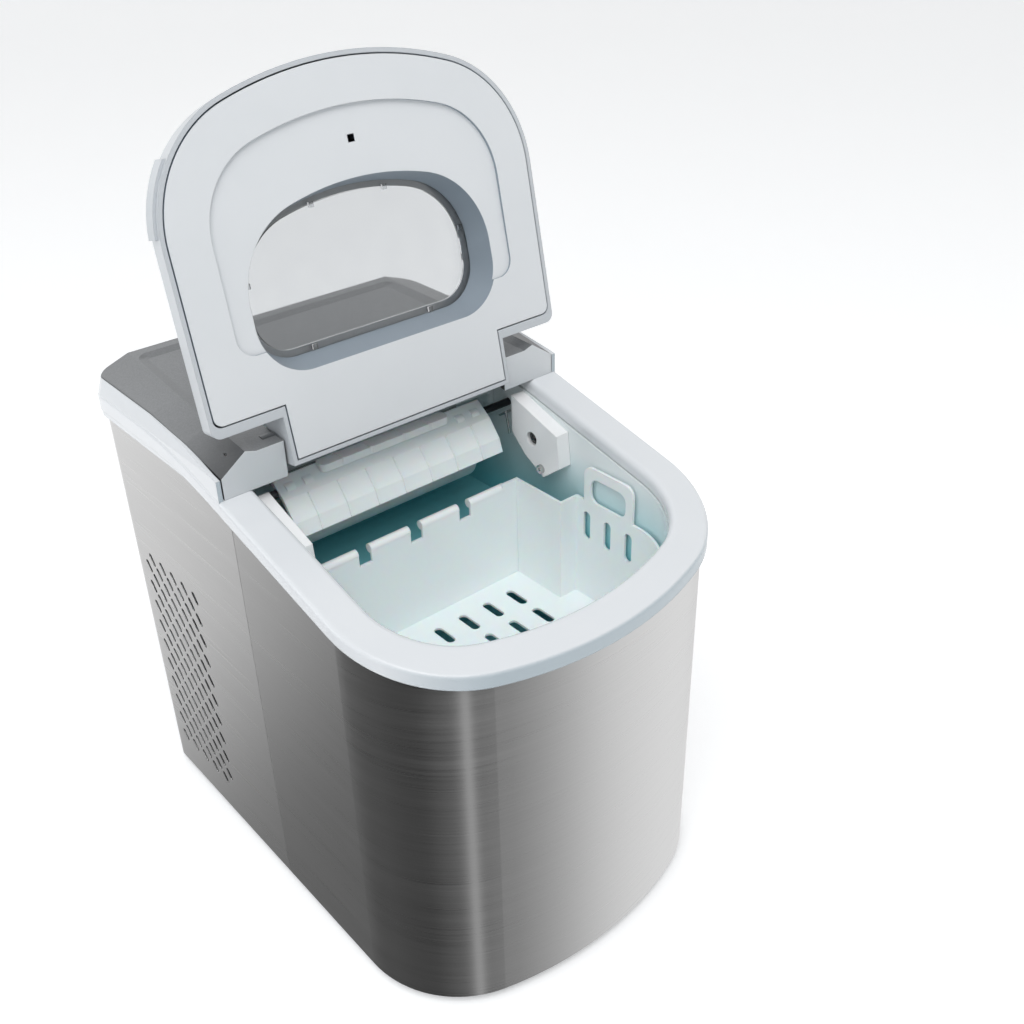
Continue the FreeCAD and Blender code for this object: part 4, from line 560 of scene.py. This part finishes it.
BUTTON_X = 0.028
BUTTON_TOP = 0.00182
RING_RADIUS = 0.003
SYMBOL_STROKE = 0.0006
BLOCK_STROKE = 0.0004
SURROUND_RADIUS = 0.0098
SURROUND_STROKE = 0.0005
BORDER_HALF = (0.0455, 0.0145)
LAMP_FIRST_X = -0.006
LAMP_PITCH = 0.004
LAMP_RADIUS = 0.0006
LAMP_STROKE = 0.0011
LAMP_RISE = 0.00042
printed_stroke("power_ring_mark", circle(-BUTTON_X, 0.0, RING_RADIUS, 120, 420, 36), SYMBOL_STROKE,
               BUTTON_TOP, False, "power_key", overlay)
printed_stroke("power_stroke_mark", [(-BUTTON_X, 0.0012), (-BUTTON_X, 0.0042)], SYMBOL_STROKE,
               BUTTON_TOP, False, "power_key", overlay)
printed_stroke("small_block_mark", rounded_square(BUTTON_X - 0.003, -0.001, 0.0013, 0.0004), BLOCK_STROKE,
               BUTTON_TOP, True, "size_key", overlay)
printed_stroke("large_block_mark", rounded_square(BUTTON_X + 0.002, 0.0, 0.0023, 0.0006), BLOCK_STROKE,
               BUTTON_TOP, True, "size_key", overlay)
for key, key_x in (("power", -BUTTON_X), ("size", BUTTON_X)):
    printed_stroke(key + "_surround_mark", circle(key_x, 0.0, SURROUND_RADIUS, 0, 354, 59), SURROUND_STROKE,
                   INK_RISE, True, "cabinet", mark_white)
border = [(x * BORDER_HALF[0], y * BORDER_HALF[1]) for x, y in ((-1, -1), (1, -1), (1, 1), (-1, 1))]
printed_stroke("overlay_border_mark", border, BLOCK_STROKE, INK_RISE, True, "cabinet", mark_white)
lamp_green = moulded("frosted_lamp_window", "#A9D9C2", "#98CDB4", 0.6, 0.01, 0.1, Roughness=0.3,
                     Emission_Color=colour("#7FE0B0"), Emission_Strength=0.15)
for lamp in range(4):
    printed_stroke("lamp_window_%d" % (lamp + 1),
                   circle(LAMP_FIRST_X + lamp * LAMP_PITCH, 0.0, LAMP_RADIUS, 0, 345, 23), LAMP_STROKE,
                   LAMP_RISE, True, "cabinet", lamp_green)


# ---- Rear panel screws ----
# Pan-head self-tapping screws with a cross recess, bright nickel plated, driven through the rear panel
# near its side edges. Each is left turned to its own angle.

SCREW_RADIUS = 0.0034
SCREW_HEIGHT = 0.0016
RECESS_HALF_WIDTH = 0.00045
RECESS_REACH = 0.0021
RECESS_DEPTH = 0.0011
SCREW_TURNS = 48
SCREW_RINGS = 14


def pan_head(name, x, z, twist):
    """Domed head facing the rear, pressed flat on the panel, with its recess turned by an angle."""
    face_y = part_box("rear_panel")[1].y
    head = bmesh.new()
    rings = [[head.verts.new((x, face_y + SCREW_HEIGHT - RECESS_DEPTH, z))]]
    for ring in range(1, SCREW_RINGS + 1):
        share = ring / SCREW_RINGS
        reach = SCREW_RADIUS * share
        rise = SCREW_HEIGHT * math.sqrt(max(0.0, 1 - share ** 4))
        made_ring = []
        for step in range(SCREW_TURNS):
            angle = 2 * math.pi * step / SCREW_TURNS
            across, along = reach * math.cos(angle), reach * math.sin(angle)
            arm = min(abs(across), abs(along)) < RECESS_HALF_WIDTH and reach < RECESS_REACH
            turned_x = across * math.cos(twist) - along * math.sin(twist)
            turned_z = across * math.sin(twist) + along * math.cos(twist)
            made_ring.append(head.verts.new((x + turned_x, face_y + rise - (RECESS_DEPTH if arm else 0.0),
                                             z + turned_z)))
        rings.append(made_ring)
    for step in range(SCREW_TURNS):
        head.faces.new((rings[0][0], rings[1][step], rings[1][(step + 1) % SCREW_TURNS]))
    for near, far in zip(rings[1:], rings[2:]):
        for step in range(SCREW_TURNS):
            after = (step + 1) % SCREW_TURNS
            head.faces.new((near[step], far[step], far[after], near[after]))
    head.faces.new(list(reversed(rings[-1])))
    bmesh.ops.recalc_face_normals(head, faces=head.faces)
    made = placed(name, head)
    made.data.materials.append(nickel)
    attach(made, "cabinet")


SCREW_X = 0.092
SCREW_HEIGHTS = (0.02, 0.105, 0.19, 0.268)
for number, screw_z in enumerate(SCREW_HEIGHTS):
    pan_head("panel_screw_left_%d" % (number + 1), -SCREW_X, screw_z, 0.3 + 0.9 * number)
    pan_head("panel_screw_right_%d" % (number + 1), SCREW_X, screw_z, 1.1 + 0.7 * number)
